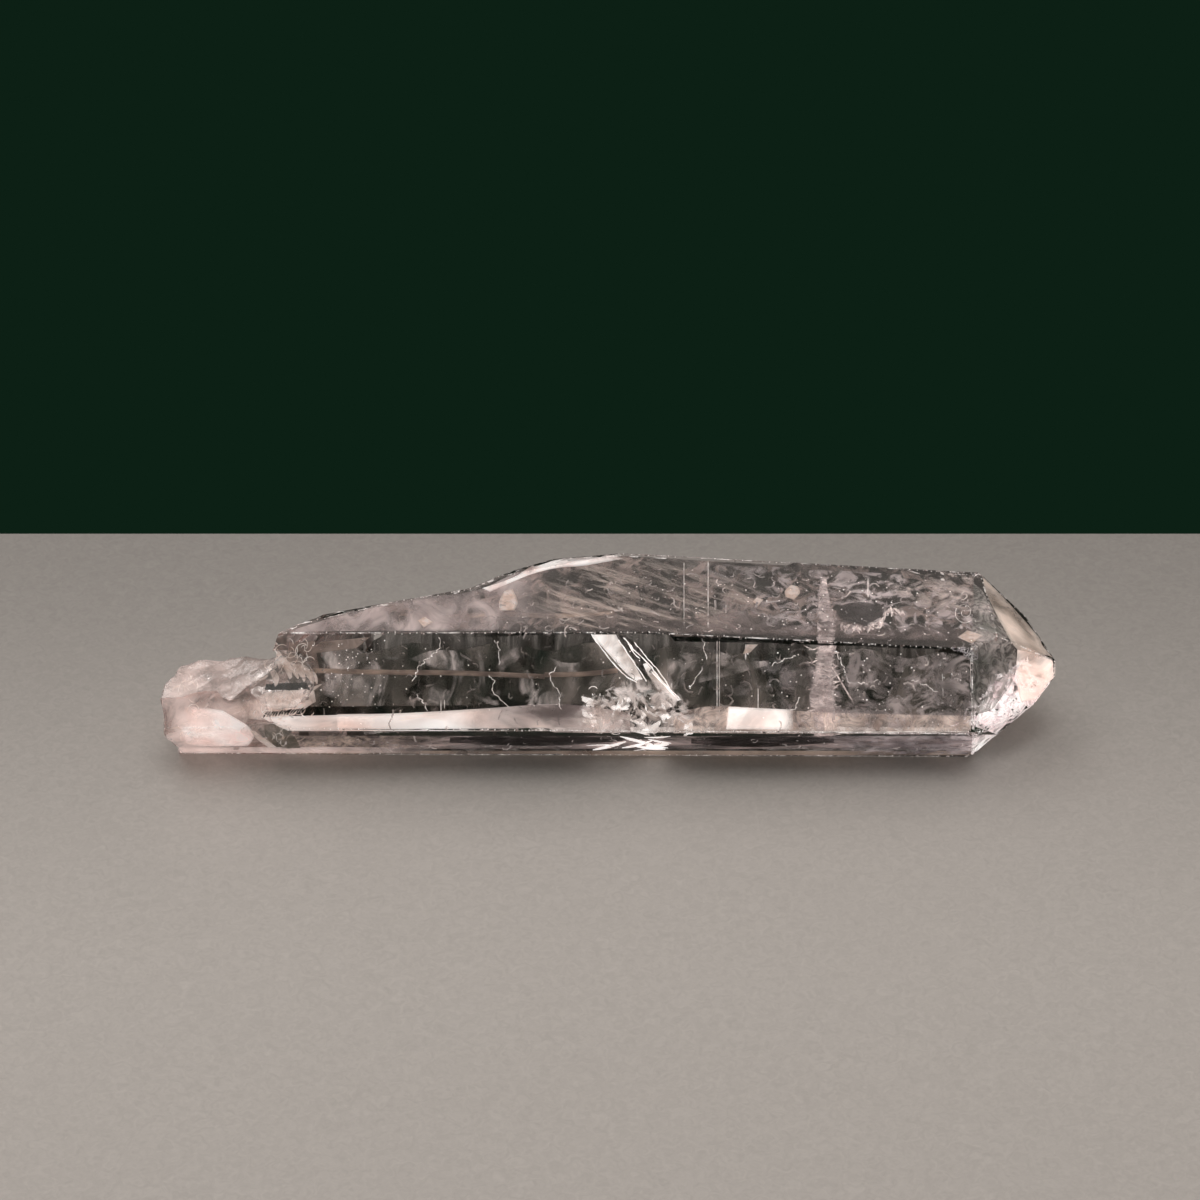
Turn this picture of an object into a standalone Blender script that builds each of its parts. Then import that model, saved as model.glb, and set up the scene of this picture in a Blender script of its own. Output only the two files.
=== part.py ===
"""Quartz crystal point, a single natural crystal that lies on one of its prism faces.

The six prism faces, the six tip faces and the oblique growth faces of the tapered back are flat
cuts through a block, each given by its direction and its distance from the crystal's axis. The
root end is broken: a step, a lower ledge, a rough end and a few shell-shaped chips.

X runs along the crystal towards its tip, Y towards its tapered back, Z up. Metres.
"""
import math

import bmesh
import bpy
from mathutils import Euler, Matrix, Vector, noise

MM = 0.001

# Driving dimensions
LENGTH = 100.0 * MM             # root end to tip
AXIS = Vector((0.0, 0.0, 7.5 * MM))   # a point of the crystal's axis; the block stands on z = 0

# Crystal faces: name -> (azimuth, lean, distance from the axis).
# Azimuth turns about the axis from 0 = -Y (front) through 90 = +Z (top). Lean tips the face
# towards the tip: prism faces barely lean, tip faces lean by about 38 degrees.
PRISM_FACES = {
    "front upper": (29.1, 0.1, 11.68 * MM),
    "top level": (88.0, 0.0, 8.15 * MM),
    "top falling to the tip": (88.0, 2.6, 8.34 * MM),
    "back upper": (150.0, 0.0, 9.25 * MM),
    "back upper near the tip": (150.1, 2.8, 9.31 * MM),
    "back lower": (210.0, 0.0, 12.00 * MM),
    "back lower near the tip": (210.0, 1.6, 12.15 * MM),
    "underside": (270.0, 0.0, 7.5 * MM),
    "front lower": (329.8, -0.35, 13.34 * MM),
}
TIP_FACES = {
    "tip front upper": (29.7, 37.6, 33.69 * MM),
    "tip top": (92.1, 37.9, 31.12 * MM),
    "tip back upper": (150.5, 40.9, 32.75 * MM),
    "tip back lower": (212.0, 50.0, 35.82 * MM),
    "tip underside": (272.5, 34.4, 29.17 * MM),
    "tip front lower": (329.8, 37.2, 35.40 * MM),
}

# Oblique faces of the tapered back. Each runs through two points of the level top, (x, y), and
# falls away behind them at its slope.
TOP_Z = 15.6 * MM
RIM_FACES = {
    "shoulder": ((-6.0 * MM, 6.0 * MM), (0.0, 6.8 * MM), 60.0),
    "shoulder bevel": ((-12.3 * MM, 1.9 * MM), (0.4 * MM, 6.3 * MM), 21.0),
    "taper bevel": ((-37.0 * MM, -9.2 * MM), (-22.5 * MM, -2.7 * MM), 22.0),
}
TAPER_FACE = ((-32.3 * MM, -5.9 * MM), (-15.5 * MM, -0.7 * MM), 41.0)
HOLLOW_FACES = (
    ((-10.0 * MM, 3.5 * MM), (-6.0 * MM, 6.0 * MM), 55.0),
    ((-15.5 * MM, -0.7 * MM), (-10.0 * MM, 3.5 * MM), 50.0),
)

# Broken root end
LEDGE_Z = 9.4 * MM              # height of the ledge's top at the front
LEDGE_RISE = 0.05               # how much the ledge climbs along the crystal
LEDGE_BACK = -5.6 * MM          # y where the ledge's top turns down
LEDGE_FALL = 50.0               # slope of the ledge's back
STEP_FRONT = (-38.4 * MM, -10.6 * MM)   # where the step's wall starts at the front, (x, y)
STEP_BEND = (-32.6 * MM, -6.0 * MM)     # where the wall turns to run further back
STEP_BACK_SLOPE = 0.35          # how far along the crystal the wall moves for each step back
STEP_ACROSS = (-17.6 * MM, 44.0 * MM)   # y where the step's cut starts, and its width
LEDGE_RUN = 18.0 * MM           # how far the cut runs along the ledge
WALL_CLIMB = 28.0 * MM          # how far it runs up the wall
END_INSET = 0.55 * MM           # how far the outer end lies inside the full length
END_BULGE = (8.5 * MM, 1.2 * MM)        # height of the end's fullest part, and how far it bulges
END_TURN = (-11.0 * MM, 0.24)   # y from which the end slants towards the back, and its slope
END_ACROSS = (-23.0 * MM, 46.0 * MM)    # y where the end's cut starts, and its width
END_UP = (-2.0 * MM, 20.0 * MM)         # z where it starts, and its height
RIB_CENTRE = Vector((-30.0 * MM, -9.0 * MM, 5.0 * MM))    # the wall's ribs ring this point

# Relief of the broken surfaces: (size, height)
LEDGE_STUBS = (2.3 * MM, 1.4 * MM)
LEDGE_LUMPS = (4.0 * MM, 0.9 * MM)
WALL_RIBS = (2.4 * MM, 0.25 * MM)
WALL_LUMPS = (3.0 * MM, 0.8 * MM)
END_STUBS = (2.0 * MM, 0.8 * MM)
END_LUMPS = (3.5 * MM, 0.8 * MM)

# Shell-shaped chips: name -> (centre, radii, turn in degrees)
CHIPS = {
    "chip below the step": ((-36.4, -11.7, 10.8), (3.8, 3.3, 1.4), (61, 0, 10)),
    "chip on the front edge": ((-38.0, -14.3, 4.9), (3.2, 2.4, 1.1), (108, 0, 0)),
}
CHIP_RIB = 0.03                 # height of a chip's ribs, as a share of its radius
CHIP_RIBS = 14.0                # how closely they follow each other

BLOCK = 160.0 * MM              # size of the block that is cut to shape
FAR = 40.0 * MM                 # how far a cutter reaches away from what it leaves
MERGE = 0.004 * MM              # points closer than this are one


def face_normal(azimuth, lean):
    """Outward direction of a crystal face."""
    turn = math.radians(azimuth)
    tip = math.radians(lean)
    return Vector((math.sin(tip), -math.cos(turn) * math.cos(tip), math.sin(turn) * math.cos(tip)))


def axis_plane(azimuth, lean, distance):
    """Point and normal of a face given from the axis."""
    normal = face_normal(azimuth, lean)
    return AXIS + normal * distance, normal


def rim_plane(start, end, slope):
    """Point and normal of a face that leaves the level top along the line from start to end."""
    along = Vector((end[0] - start[0], end[1] - start[1], 0.0)).normalized()
    outward = Vector((-along.y, along.x, 0.0))
    fall = math.radians(slope)
    return Vector((*start, TOP_Z)), outward * math.sin(fall) + Vector((0.0, 0.0, math.cos(fall)))


def keep_inside(bm, point, normal):
    """Cut away what lies beyond a plane, and close the cut with one flat face."""
    everything = bm.verts[:] + bm.edges[:] + bm.faces[:]
    bmesh.ops.bisect_plane(bm, geom=everything, plane_co=point, plane_no=normal, clear_outer=True)
    rim = [edge for edge in bm.edges if edge.is_boundary]
    bmesh.ops.holes_fill(bm, edges=rim, sides=0)


def new_object(name, bm):
    """Make an object of a bmesh, with its faces pointing out."""
    bmesh.ops.recalc_face_normals(bm, faces=bm.faces[:])
    mesh = bpy.data.meshes.new(name)
    bm.to_mesh(mesh)
    bm.free()
    made = bpy.data.objects.new(name, mesh)
    bpy.context.scene.collection.objects.link(made)
    return made


def cut_block(name, planes):
    """A block with everything beyond the given planes cut away."""
    bm = bmesh.new()
    bmesh.ops.create_cube(bm, size=BLOCK)
    for point, normal in planes:
        keep_inside(bm, point, normal)
    return new_object(name, bm)


def ribs(point, relief):
    """Rings around a centre, like the ribs of a shell-shaped break."""
    spacing, height = relief
    return height * math.sin(2.0 * math.pi * (point - RIB_CENTRE).length / spacing)


def lumps(point, relief):
    """Soft lumps."""
    size, height = relief
    return height * noise.noise(point / size)


def stubs(point, relief):
    """Small pointed lumps, like the stubs of crystals."""
    size, height = relief
    nearest = noise.voronoi(point / size)[0][0]
    return height * (0.5 - nearest)


def surface_cutter(name, columns, rows, place, away):
    """A solid that cuts down to a surface; place(u, v) gives the surface for u, v from 0 to 1."""
    bm = bmesh.new()
    bmesh.ops.create_grid(bm, x_segments=columns, y_segments=rows, size=0.5)
    for vert in bm.verts:
        vert.co = place(vert.co.x + 0.5, vert.co.y + 0.5)
    grown = bmesh.ops.extrude_face_region(bm, geom=bm.faces[:])
    moved = [item for item in grown["geom"] if isinstance(item, bmesh.types.BMVert)]
    bmesh.ops.translate(bm, verts=moved, vec=away)
    return new_object(name, bm)


def ledge_height(x, y):
    """Height of the ledge's top before its lumps: nearly level, then falling away at the back."""
    fall = max(0.0, y - LEDGE_BACK) * math.tan(math.radians(LEDGE_FALL))
    return LEDGE_Z + LEDGE_RISE * (x + 0.44 * LENGTH) - fall


def step_line(y):
    """Where the step's wall stands, seen from above."""
    front_slope = (STEP_BEND[0] - STEP_FRONT[0]) / (STEP_BEND[1] - STEP_FRONT[1])
    if y < STEP_BEND[1]:
        return STEP_FRONT[0] + (y - STEP_FRONT[1]) * front_slope
    return STEP_BEND[0] + (y - STEP_BEND[1]) * STEP_BACK_SLOPE


def step_place(u, v):
    """Surface of the step: along the ledge, through the corner and up the wall."""
    y = STEP_ACROSS[0] + v * STEP_ACROSS[1]
    wall_x = step_line(y)
    climb = u * (LEDGE_RUN + WALL_CLIMB) - LEDGE_RUN
    if climb < 0.0:
        x = wall_x + climb
        base = Vector((x, y, ledge_height(x, y)))
        return base + Vector((0.0, 0.0, stubs(base.xy.to_3d(), LEDGE_STUBS) + lumps(base, LEDGE_LUMPS)))
    base = Vector((wall_x, y, ledge_height(wall_x, y) + climb))
    return base - Vector((ribs(base, WALL_RIBS) + lumps(base, WALL_LUMPS), 0.0, 0.0))


def end_place(u, v):
    """Surface of the rough outer end, which bulges at half height."""
    y = END_ACROSS[0] + u * END_ACROSS[1]
    z = END_UP[0] + v * END_UP[1]
    hollow = END_BULGE[1] * (z / END_BULGE[0] - 1.0) ** 2
    slant = END_TURN[1] * max(0.0, y - END_TURN[0])
    base = Vector((END_INSET - 0.5 * LENGTH + hollow + slant, y, z))
    return base - Vector((stubs(base, END_STUBS) + lumps(base, END_LUMPS), 0.0, 0.0))


def chip_cutter(name, centre, radii, turn):
    """A rounded scoop with ribs, which leaves a shell-shaped hollow."""
    bm = bmesh.new()
    bmesh.ops.create_icosphere(bm, subdivisions=4, radius=1.0)
    for vert in bm.verts:
        swing = math.acos(max(-1.0, min(1.0, -vert.co.x)))
        vert.co = vert.co * (1.0 + CHIP_RIB * math.sin(CHIP_RIBS * swing))
    size = Matrix.Diagonal((*(Vector(radii) * MM), 1.0))
    facing = Euler([math.radians(angle) for angle in turn]).to_matrix().to_4x4()
    place = Matrix.Translation(Vector(centre) * MM) @ facing @ size
    bmesh.ops.transform(bm, matrix=place, verts=bm.verts[:])
    return new_object(name, bm)


def subtract(body, cutter):
    """Boolean difference, applied."""
    boolean = body.modifiers.new(cutter.name, "BOOLEAN")
    boolean.operation = "DIFFERENCE"
    boolean.solver = "EXACT"
    boolean.object = cutter
    bpy.context.view_layer.update()
    evaluated = body.evaluated_get(bpy.context.evaluated_depsgraph_get())
    result = bpy.data.meshes.new_from_object(evaluated)
    body.modifiers.remove(boolean)
    body.data = result
    bpy.data.objects.remove(cutter)


def beyond(plane):
    """The same plane, facing the other way."""
    point, normal = plane
    return point, -normal


def crystal_material():
    """Clear quartz with a faint peach tint."""
    material = bpy.data.materials.new("clear quartz")
    material.use_nodes = True
    shader = material.node_tree.nodes["Principled BSDF"]
    shader.inputs["Base Color"].default_value = (0.93, 0.86, 0.83, 1.0)
    shader.inputs["Roughness"].default_value = 0.03
    shader.inputs["Metallic"].default_value = 0.0
    shader.inputs["IOR"].default_value = 1.544
    shader.inputs["Transmission Weight"].default_value = 1.0
    return material


def settle(body):
    """Merge what the cuts left double, and stand the crystal centred over the origin."""
    bm = bmesh.new()
    bm.from_mesh(body.data)
    bmesh.ops.remove_doubles(bm, verts=bm.verts[:], dist=MERGE)
    bmesh.ops.dissolve_degenerate(bm, dist=0.5 * MERGE, edges=bm.edges[:])
    bmesh.ops.triangulate(bm, faces=bm.faces[:])
    low = Vector([min(vert.co[axis] for vert in bm.verts) for axis in range(3)])
    high = Vector([max(vert.co[axis] for vert in bm.verts) for axis in range(3)])
    middle = (low + high) / 2.0
    bmesh.ops.translate(bm, verts=bm.verts[:], vec=(-middle.x, -middle.y, -low.z))
    bm.to_mesh(body.data)
    bm.free()


def build_crystal():
    """Cut the crystal's faces, its tapered back and its broken root end."""
    planes = [axis_plane(*face) for face in (*PRISM_FACES.values(), *TIP_FACES.values())]
    planes += [rim_plane(*face) for face in RIM_FACES.values()]
    body = cut_block("crystal", planes)
    taper = rim_plane(*TAPER_FACE)
    for number, face in enumerate(HOLLOW_FACES):
        wedge = cut_block(f"hollow {number}", [beyond(taper), beyond(rim_plane(*face))])
        subtract(body, wedge)
    subtract(body, surface_cutter("step", 40, 34, step_place, Vector((-FAR, 0.0, FAR))))
    subtract(body, surface_cutter("end", 26, 14, end_place, Vector((-FAR, 0.0, 0.0))))
    for name, chip in CHIPS.items():
        subtract(body, chip_cutter(name, *chip))
    body.data.materials.clear()
    body.data.materials.append(crystal_material())
    settle(body)
    return body


for old in list(bpy.data.objects):
    bpy.data.objects.remove(old)
build_crystal()
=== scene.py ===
"""Quartz crystal point: its clear body, what lies inside it, and a plain stage.

The crystal lies along X with its tip at +X, its broken root end at -X and its front at -Y.
Places inside it are given as a person standing in front sees them: `along` the crystal from its
middle, `up` across the view from the bottom front edge, and how `deep` below the face.
Lengths are in metres; MM turns millimetres into metres.
"""

import math
import random

import bmesh
import bpy
from bpy.props import FloatProperty, FloatVectorProperty, PointerProperty
from mathutils import Matrix, Vector, noise
from mathutils.bvhtree import BVHTree


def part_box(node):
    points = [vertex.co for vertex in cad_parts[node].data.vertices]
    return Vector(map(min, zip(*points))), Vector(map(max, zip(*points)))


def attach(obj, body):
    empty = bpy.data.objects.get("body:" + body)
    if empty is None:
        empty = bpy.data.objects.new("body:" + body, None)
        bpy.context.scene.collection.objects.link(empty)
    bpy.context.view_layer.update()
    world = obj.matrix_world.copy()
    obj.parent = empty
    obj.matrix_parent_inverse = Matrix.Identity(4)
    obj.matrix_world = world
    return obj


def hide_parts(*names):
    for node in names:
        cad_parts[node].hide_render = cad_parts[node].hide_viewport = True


bl_info = {
    "name": "Quartz Crystal Point",
    "version": (1, 0, 0),
    "blender": (4, 5, 0),
    "location": "3D View > Sidebar > Quartz",
    "description": "Builds a clear quartz point with its inner fractures, veils and bubbles",
    "category": "Add Mesh",
}

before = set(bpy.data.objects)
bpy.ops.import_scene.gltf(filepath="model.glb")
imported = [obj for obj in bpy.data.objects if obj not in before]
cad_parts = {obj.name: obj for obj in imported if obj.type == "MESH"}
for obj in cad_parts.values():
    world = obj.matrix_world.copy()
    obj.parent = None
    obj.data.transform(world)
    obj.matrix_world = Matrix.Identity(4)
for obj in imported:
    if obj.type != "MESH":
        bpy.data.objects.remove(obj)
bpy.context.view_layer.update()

MM = 0.001
NODE = "crystal"
BODY = "root"
BOX_LOW, BOX_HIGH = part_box(NODE)

QUARTZ_IOR = 1.544
INNER_IOR = 1.3                 # of what lies inside the quartz
MILKY = (0.985, 0.965, 0.955)   # body colour of the broken surfaces
SEED = 7
noise.seed_set(SEED)            # noise vectors follow it too
WELD = 0.004 * MM               # points of the solid closer than this are one
SAME_POINT = 0.0004 * MM        # points of an inner piece closer than this are one
NO_SIZE = 0.0002 * MM           # an edge shorter than this is dropped

# The line of sight from the front
PITCH = math.radians(34.3)      # how far the camera looks down
DISTANCE = 0.55                 # camera to the plane through the bottom front edge
VIEW_WIDTH = 0.1343             # width of the view at that distance
SENSOR = 36.0
NEAREST = 0.01                  # where the camera starts to see
FORWARD = Vector((0.0, math.cos(PITCH), -math.sin(PITCH)))
UPWARD = Vector((0.0, math.sin(PITCH), math.cos(PITCH)))
FRONT_EDGE = Vector((0.0, BOX_LOW.y + 3.1 * MM, 0.0))   # middle of the bottom front edge
AIM = FRONT_EDGE + 17.57 * MM * UPWARD + Vector((-1.2 * MM, 0.0, 0.0))   # middle of the view
EYE = AIM - DISTANCE * FORWARD
MIDDLE_UP = 9.0                 # the middle of the outline, up from the front edge, in millimetres
DRAW_IN = (0.995, 0.03)         # how a spot outside the outline moves in: along, up
MOST_TRIES = 40
SKIP = 0.01 * MM                # a ray inside starts this far below the face it came in by
DEEPEST = 0.9                   # share of the way to the far side that a point may go


# ---------------------------------------------------------------- settings

class QuartzSettings(bpy.types.PropertyGroup):
    """Sizes and colours of the crystal and what is inside it."""

    tint: FloatVectorProperty(
        name="Tint", description="Colour that light keeps on its way through the quartz",
        subtype="COLOR", size=3, default=(1.0, 0.90, 0.86), min=0.0, max=1.0)
    absorption: FloatProperty(
        name="Absorption", description="How strongly the tint builds up with thickness, per metre",
        default=6.0, min=0.0)
    chip_spacing: FloatProperty(
        name="Chip Spacing", description="Length of crystal edge from one small chip to the next",
        default=1.9 * MM, min=0.1 * MM, unit="LENGTH")
    chip_size: FloatProperty(
        name="Chip Size", description="Radius of the largest chips on the edges",
        default=0.24 * MM, min=0.0, unit="LENGTH")


class StageSettings(bpy.types.PropertyGroup):
    """Floor and light around the crystal."""

    floor_colour: FloatVectorProperty(
        name="Floor Colour", description="Colour of the pale floor",
        subtype="COLOR", size=3, default=(0.46, 0.442, 0.418), min=0.0, max=1.0)
    backdrop: FloatVectorProperty(
        name="Backdrop", description="Dark surround that shows low down",
        subtype="COLOR", size=3, default=(0.0040, 0.0144, 0.0075), min=0.0, max=1.0)
    dome_back: FloatVectorProperty(
        name="Dome at the Back", description="Pale light from above, on the far side",
        subtype="COLOR", size=3, default=(0.80, 0.70, 0.65), min=0.0, max=4.0)
    dome_front: FloatVectorProperty(
        name="Dome at the Front", description="Pale light from above, on the near side",
        subtype="COLOR", size=3, default=(0.34, 0.32, 0.305), min=0.0, max=4.0)
    horizon: FloatProperty(
        name="Dome Edge", description="Angle above the floor where the pale light starts",
        subtype="ANGLE", default=math.radians(34.95))
    softbox: FloatProperty(
        name="Softbox Power", description="Power of the softbox at the back left, in watts",
        default=3.5, min=0.0)
    top_light: FloatProperty(
        name="Top Light Power", description="Power of the softbox straight above, in watts",
        default=2.0, min=0.0)


# ---------------------------------------------------------------- sight lines

def crystal_tree():
    """Search tree of the crystal's own solid."""
    solid = bmesh.new()
    solid.from_mesh(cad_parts[NODE].data)
    bmesh.ops.remove_doubles(solid, verts=solid.verts[:], dist=WELD)
    tree = BVHTree.FromBMesh(solid)
    solid.free()
    return tree


TREE = crystal_tree()


def bend(direction, normal, ratio):
    """The direction of a ray after it passes a surface; ratio is outer index over inner."""
    cosine = -direction.dot(normal)
    inner = 1.0 - ratio ** 2 * (1.0 - cosine ** 2)
    return direction * ratio + normal * (ratio * cosine - math.sqrt(inner))


def inside(along, up, deep):
    """The point that is seen at (along, up), `deep` below the face there, all in millimetres.

    A spot just outside the outline is drawn in to it, and a point never leaves the far side.
    """
    for _ in range(MOST_TRIES):
        target = FRONT_EDGE + Vector((along * MM, 0.0, 0.0)) + UPWARD * (up * MM)
        sight = (target - EYE).normalized()
        hit, normal, _, _ = TREE.ray_cast(EYE, sight)
        if hit is not None:
            break
        along, up = along * DRAW_IN[0], up + (MIDDLE_UP - up) * DRAW_IN[1]
    else:
        raise ValueError(f"nothing of the crystal is seen near {along}, {up}")
    heading = bend(sight, normal, 1.0 / QUARTZ_IOR)
    room = TREE.ray_cast(hit + heading * SKIP, heading)[3] or 0.0
    return hit + heading * min(deep * MM, DEEPEST * room)


# ---------------------------------------------------------------- objects

LEAF_THICK = 0.06               # of a blade at its middle, in millimetres
TUBE_SIDES = 4
TUBE_END = 0.35                 # share of its radius that a tube ends with
BEAD_SCALE = 2200.0             # of the noise that makes a tube's thickness uneven, per metre
JITTER_SCALE = 2.6              # of the noise that shakes a strand, per millimetre
HOST_ROWS, HOST_COLUMNS = 8, 24


def add_object(name, data):
    """Link a mesh, a lamp or a camera as an object at the origin."""
    made = bpy.data.objects.new(name, data)
    bpy.context.scene.collection.objects.link(made)
    return made


def mesh_of(thing):
    """A new mesh of an object as its modifiers make it."""
    bpy.context.view_layer.update()
    evaluated = thing.evaluated_get(bpy.context.evaluated_depsgraph_get())
    return bpy.data.meshes.new_from_object(evaluated)


def object_from(name, bm, material, smooth=True):
    """Finish a bmesh as an object at the origin with one material."""
    bmesh.ops.remove_doubles(bm, verts=bm.verts[:], dist=SAME_POINT)
    bmesh.ops.dissolve_degenerate(bm, dist=NO_SIZE, edges=bm.edges[:])
    bmesh.ops.recalc_face_normals(bm, faces=bm.faces[:])
    mesh = bpy.data.meshes.new(name)
    bm.to_mesh(mesh)
    bm.free()
    mesh.materials.append(material)
    mesh.polygons.foreach_set("use_smooth", [smooth] * len(mesh.polygons))
    return add_object(name, mesh)


def settle(piece):
    """Attach a piece to the crystal's body, so that it moves with the crystal."""
    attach(piece, BODY)


def flow(points, share):
    """The point at a share from 0 to 1 of the smooth line through some points."""
    last = len(points) - 1
    place = min(max(share, 0.0), 1.0) * last
    start = min(int(place), last - 1)
    t = place - start
    before, here, there, after = (
        Vector(points[min(max(start + step, 0), last)]) for step in (-1, 0, 1, 2))
    return 0.5 * (2.0 * here + (there - before) * t
                  + (2.0 * before - 5.0 * here + 4.0 * there - after) * t ** 2
                  + (3.0 * here - before - 3.0 * there + after) * t ** 3)


def leaf(bm, left, right, deep, rows, columns=6, wave=0.0, size=2.0):
    """Add a thin closed blade that fills the space between two lines, seen from the front.

    deep is how far below the face the first and the last row lie; wave bends the blade by soft
    lumps of the given size. All in millimetres.
    """
    grid = {}
    for row in range(rows + 1):
        share = row / rows
        start, end = flow(left, share), flow(right, share)
        depth = deep[0] + (deep[1] - deep[0]) * share
        for column in range(columns + 1):
            spot = start.lerp(end, column / columns)
            lump = wave * noise.noise(Vector((spot.x, spot.y, depth)) / size)
            rim = row in (0, rows) or column in (0, columns)
            front = bm.verts.new(inside(spot.x, spot.y, depth + lump))
            grid[row, column, 0] = front
            grid[row, column, 1] = front
            if not rim:
                far = inside(spot.x, spot.y, depth + lump + LEAF_THICK)
                grid[row, column, 1] = bm.verts.new(far)
    for row in range(rows):
        for column in range(columns):
            for side in (0, 1):
                corners = [grid[row, column, side], grid[row, column + 1, side],
                           grid[row + 1, column + 1, side], grid[row + 1, column, side]]
                bm.faces.new(corners[::-1] if side else corners)


def tube(bm, line, radius, beads):
    """Add a thin closed tube along a line of points; beads makes its thickness uneven."""
    rings = []
    last = len(line) - 1
    for index, point in enumerate(line):
        along = (line[min(index + 1, last)] - line[max(index - 1, 0)]).normalized()
        across = along.cross(FORWARD).normalized()
        other = along.cross(across)
        uneven = 1.0 + beads * noise.noise(point * BEAD_SCALE)
        taper = TUBE_END if index in (0, last) else 1.0
        ring = []
        for side in range(TUBE_SIDES):
            angle = 2.0 * math.pi * side / TUBE_SIDES
            reach = across * math.cos(angle) + other * math.sin(angle)
            ring.append(bm.verts.new(point + reach * (radius * MM * uneven * taper)))
        rings.append(ring)
    for ring, following in zip(rings, rings[1:]):
        for side in range(TUBE_SIDES):
            beside = (side + 1) % TUBE_SIDES
            bm.faces.new((ring[side], ring[beside], following[beside], following[side]))
    bm.faces.new(rings[0][::-1])
    bm.faces.new(rings[-1])


def strand(bm, points, deep, radius, jitter=0.0, step=0.35, beads=0.0):
    """Add a tube that is seen from the front along the smooth line through some points."""
    length = sum((Vector(b) - Vector(a)).length for a, b in zip(points, points[1:]))
    count = max(3, int(length / step))
    line = []
    for index in range(count + 1):
        spot = flow(points, index / count)
        place = Vector((spot.x, spot.y, deep))
        shake = noise.noise_vector(place * JITTER_SCALE) * jitter
        depth = deep + shake.z
        line.append(inside(spot.x + shake.x, spot.y + shake.y, depth))
    tube(bm, line, radius, beads)


def fill_grid(bm, grid, rows, columns):
    """Add the faces of a grid of vertices wherever all four corners are there."""
    for row in range(rows):
        for column in range(columns):
            corners = [grid.get(key) for key in (
                (row, column), (row, column + 1), (row + 1, column + 1), (row + 1, column))]
            if all(corners):
                bm.faces.new(corners)


def region(part, deep):
    """A bmesh of an open sheet between two lines seen from the front, to scatter things on."""
    left, right = part
    host = bmesh.new()
    grid = {}
    for row in range(HOST_ROWS + 1):
        start, end = flow(left, row / HOST_ROWS), flow(right, row / HOST_ROWS)
        for column in range(HOST_COLUMNS + 1):
            spot = start.lerp(end, column / HOST_COLUMNS)
            grid[row, column] = host.verts.new(inside(spot.x, spot.y, deep))
    fill_grid(host, grid, HOST_ROWS, HOST_COLUMNS)
    return host


def edge_host(pairs):
    """A bmesh of loose edges, to scatter things along."""
    host = bmesh.new()
    for start, end in pairs:
        host.edges.new((host.verts.new(start), host.verts.new(end)))
    return host


def thicken(bm, offset):
    """Make an open sheet a closed one: its far side lies at an offset in millimetres."""
    grown = bmesh.ops.extrude_face_region(bm, geom=bm.faces[:])
    moved = [item for item in grown["geom"] if isinstance(item, bmesh.types.BMVert)]
    bmesh.ops.translate(bm, verts=moved, vec=[part * MM for part in offset])


def trim_to_solid(bm, margin):
    """Remove the faces of a sheet that reach out of the crystal or too close to its skin.

    Vertices that carry no face go too.
    """
    outside = []
    for face in bm.faces:
        for vert in face.verts:
            place, normal, _, reach = TREE.find_nearest(vert.co)
            if (vert.co - place).dot(normal) > 0.0 or reach < margin * MM:
                outside.append(face)
                break
    bmesh.ops.delete(bm, geom=outside, context="FACES")
    loose = [vert for vert in bm.verts if not vert.link_faces]
    bmesh.ops.delete(bm, geom=loose, context="VERTS")


def draw_in(bm, margin=0.06):
    """Move vertices that reach out of the crystal, or too close to its skin, back inside."""
    for vert in bm.verts:
        place, normal, _, _ = TREE.find_nearest(vert.co)
        if (vert.co - place).dot(normal) > -margin * MM:
            vert.co = place - normal * (margin * MM)


# ---------------------------------------------------------------- nodes and scattering

SQUARE_CMS = 1.0e4              # square centimetres in a square metre


def put(value, socket):
    """Give an input socket a value, or link another socket to it."""
    if isinstance(value, bpy.types.NodeSocket):
        socket.id_data.links.new(value, socket)
    else:
        socket.default_value = value


def add_node(tree, kind, inputs, **settings):
    """Add a node; inputs gives each input, by name or number, a value or a socket to link."""
    node = tree.nodes.new(kind)
    for name, value in settings.items():
        setattr(node, name, value)
    for key, value in inputs.items():
        put(value, node.inputs[key])
    return node


def add_sockets(tree, inputs, output):
    """Add named inputs, each (name, kind, default), and one output, (name, kind), to a group."""
    for name, kind, default in inputs:
        socket = tree.interface.new_socket(
            name=name, in_out="INPUT", socket_type=f"NodeSocket{kind}")
        if default is not None:
            socket.default_value = default
    name, kind = output
    tree.interface.new_socket(name=name, in_out="OUTPUT", socket_type=f"NodeSocket{kind}")


def random_value(tree, kind, low, high, seed):
    """A random value between low and high, each a value or a socket; returns its output."""
    first = 0 if kind == "FLOAT_VECTOR" else 2
    node = add_node(tree, "FunctionNodeRandomValue", {first: low, first + 1: high, "Seed": seed},
                    data_type=kind)
    return node.outputs[first // 2]


def grain_shape(tree, shape):
    """Nodes of the small shape that is scattered, one unit in size: a bead or a curl."""
    if shape == "bead":
        ball = add_node(tree, "GeometryNodeMeshIcoSphere", {"Radius": 1.0, "Subdivisions": 1})
        return ball.outputs["Mesh"]
    spiral = add_node(tree, "GeometryNodeCurveSpiral", {
        "Resolution": 9, "Rotations": 0.35, "Start Radius": 0.45, "End Radius": 1.0, "Height": 0.3})
    ring = add_node(tree, "GeometryNodeCurvePrimitiveCircle", {"Resolution": 3, "Radius": 0.11})
    skin = add_node(tree, "GeometryNodeCurveToMesh", {
        "Curve": spiral.outputs[0], "Profile Curve": ring.outputs[0], "Fill Caps": True})
    return skin.outputs[0]


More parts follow.
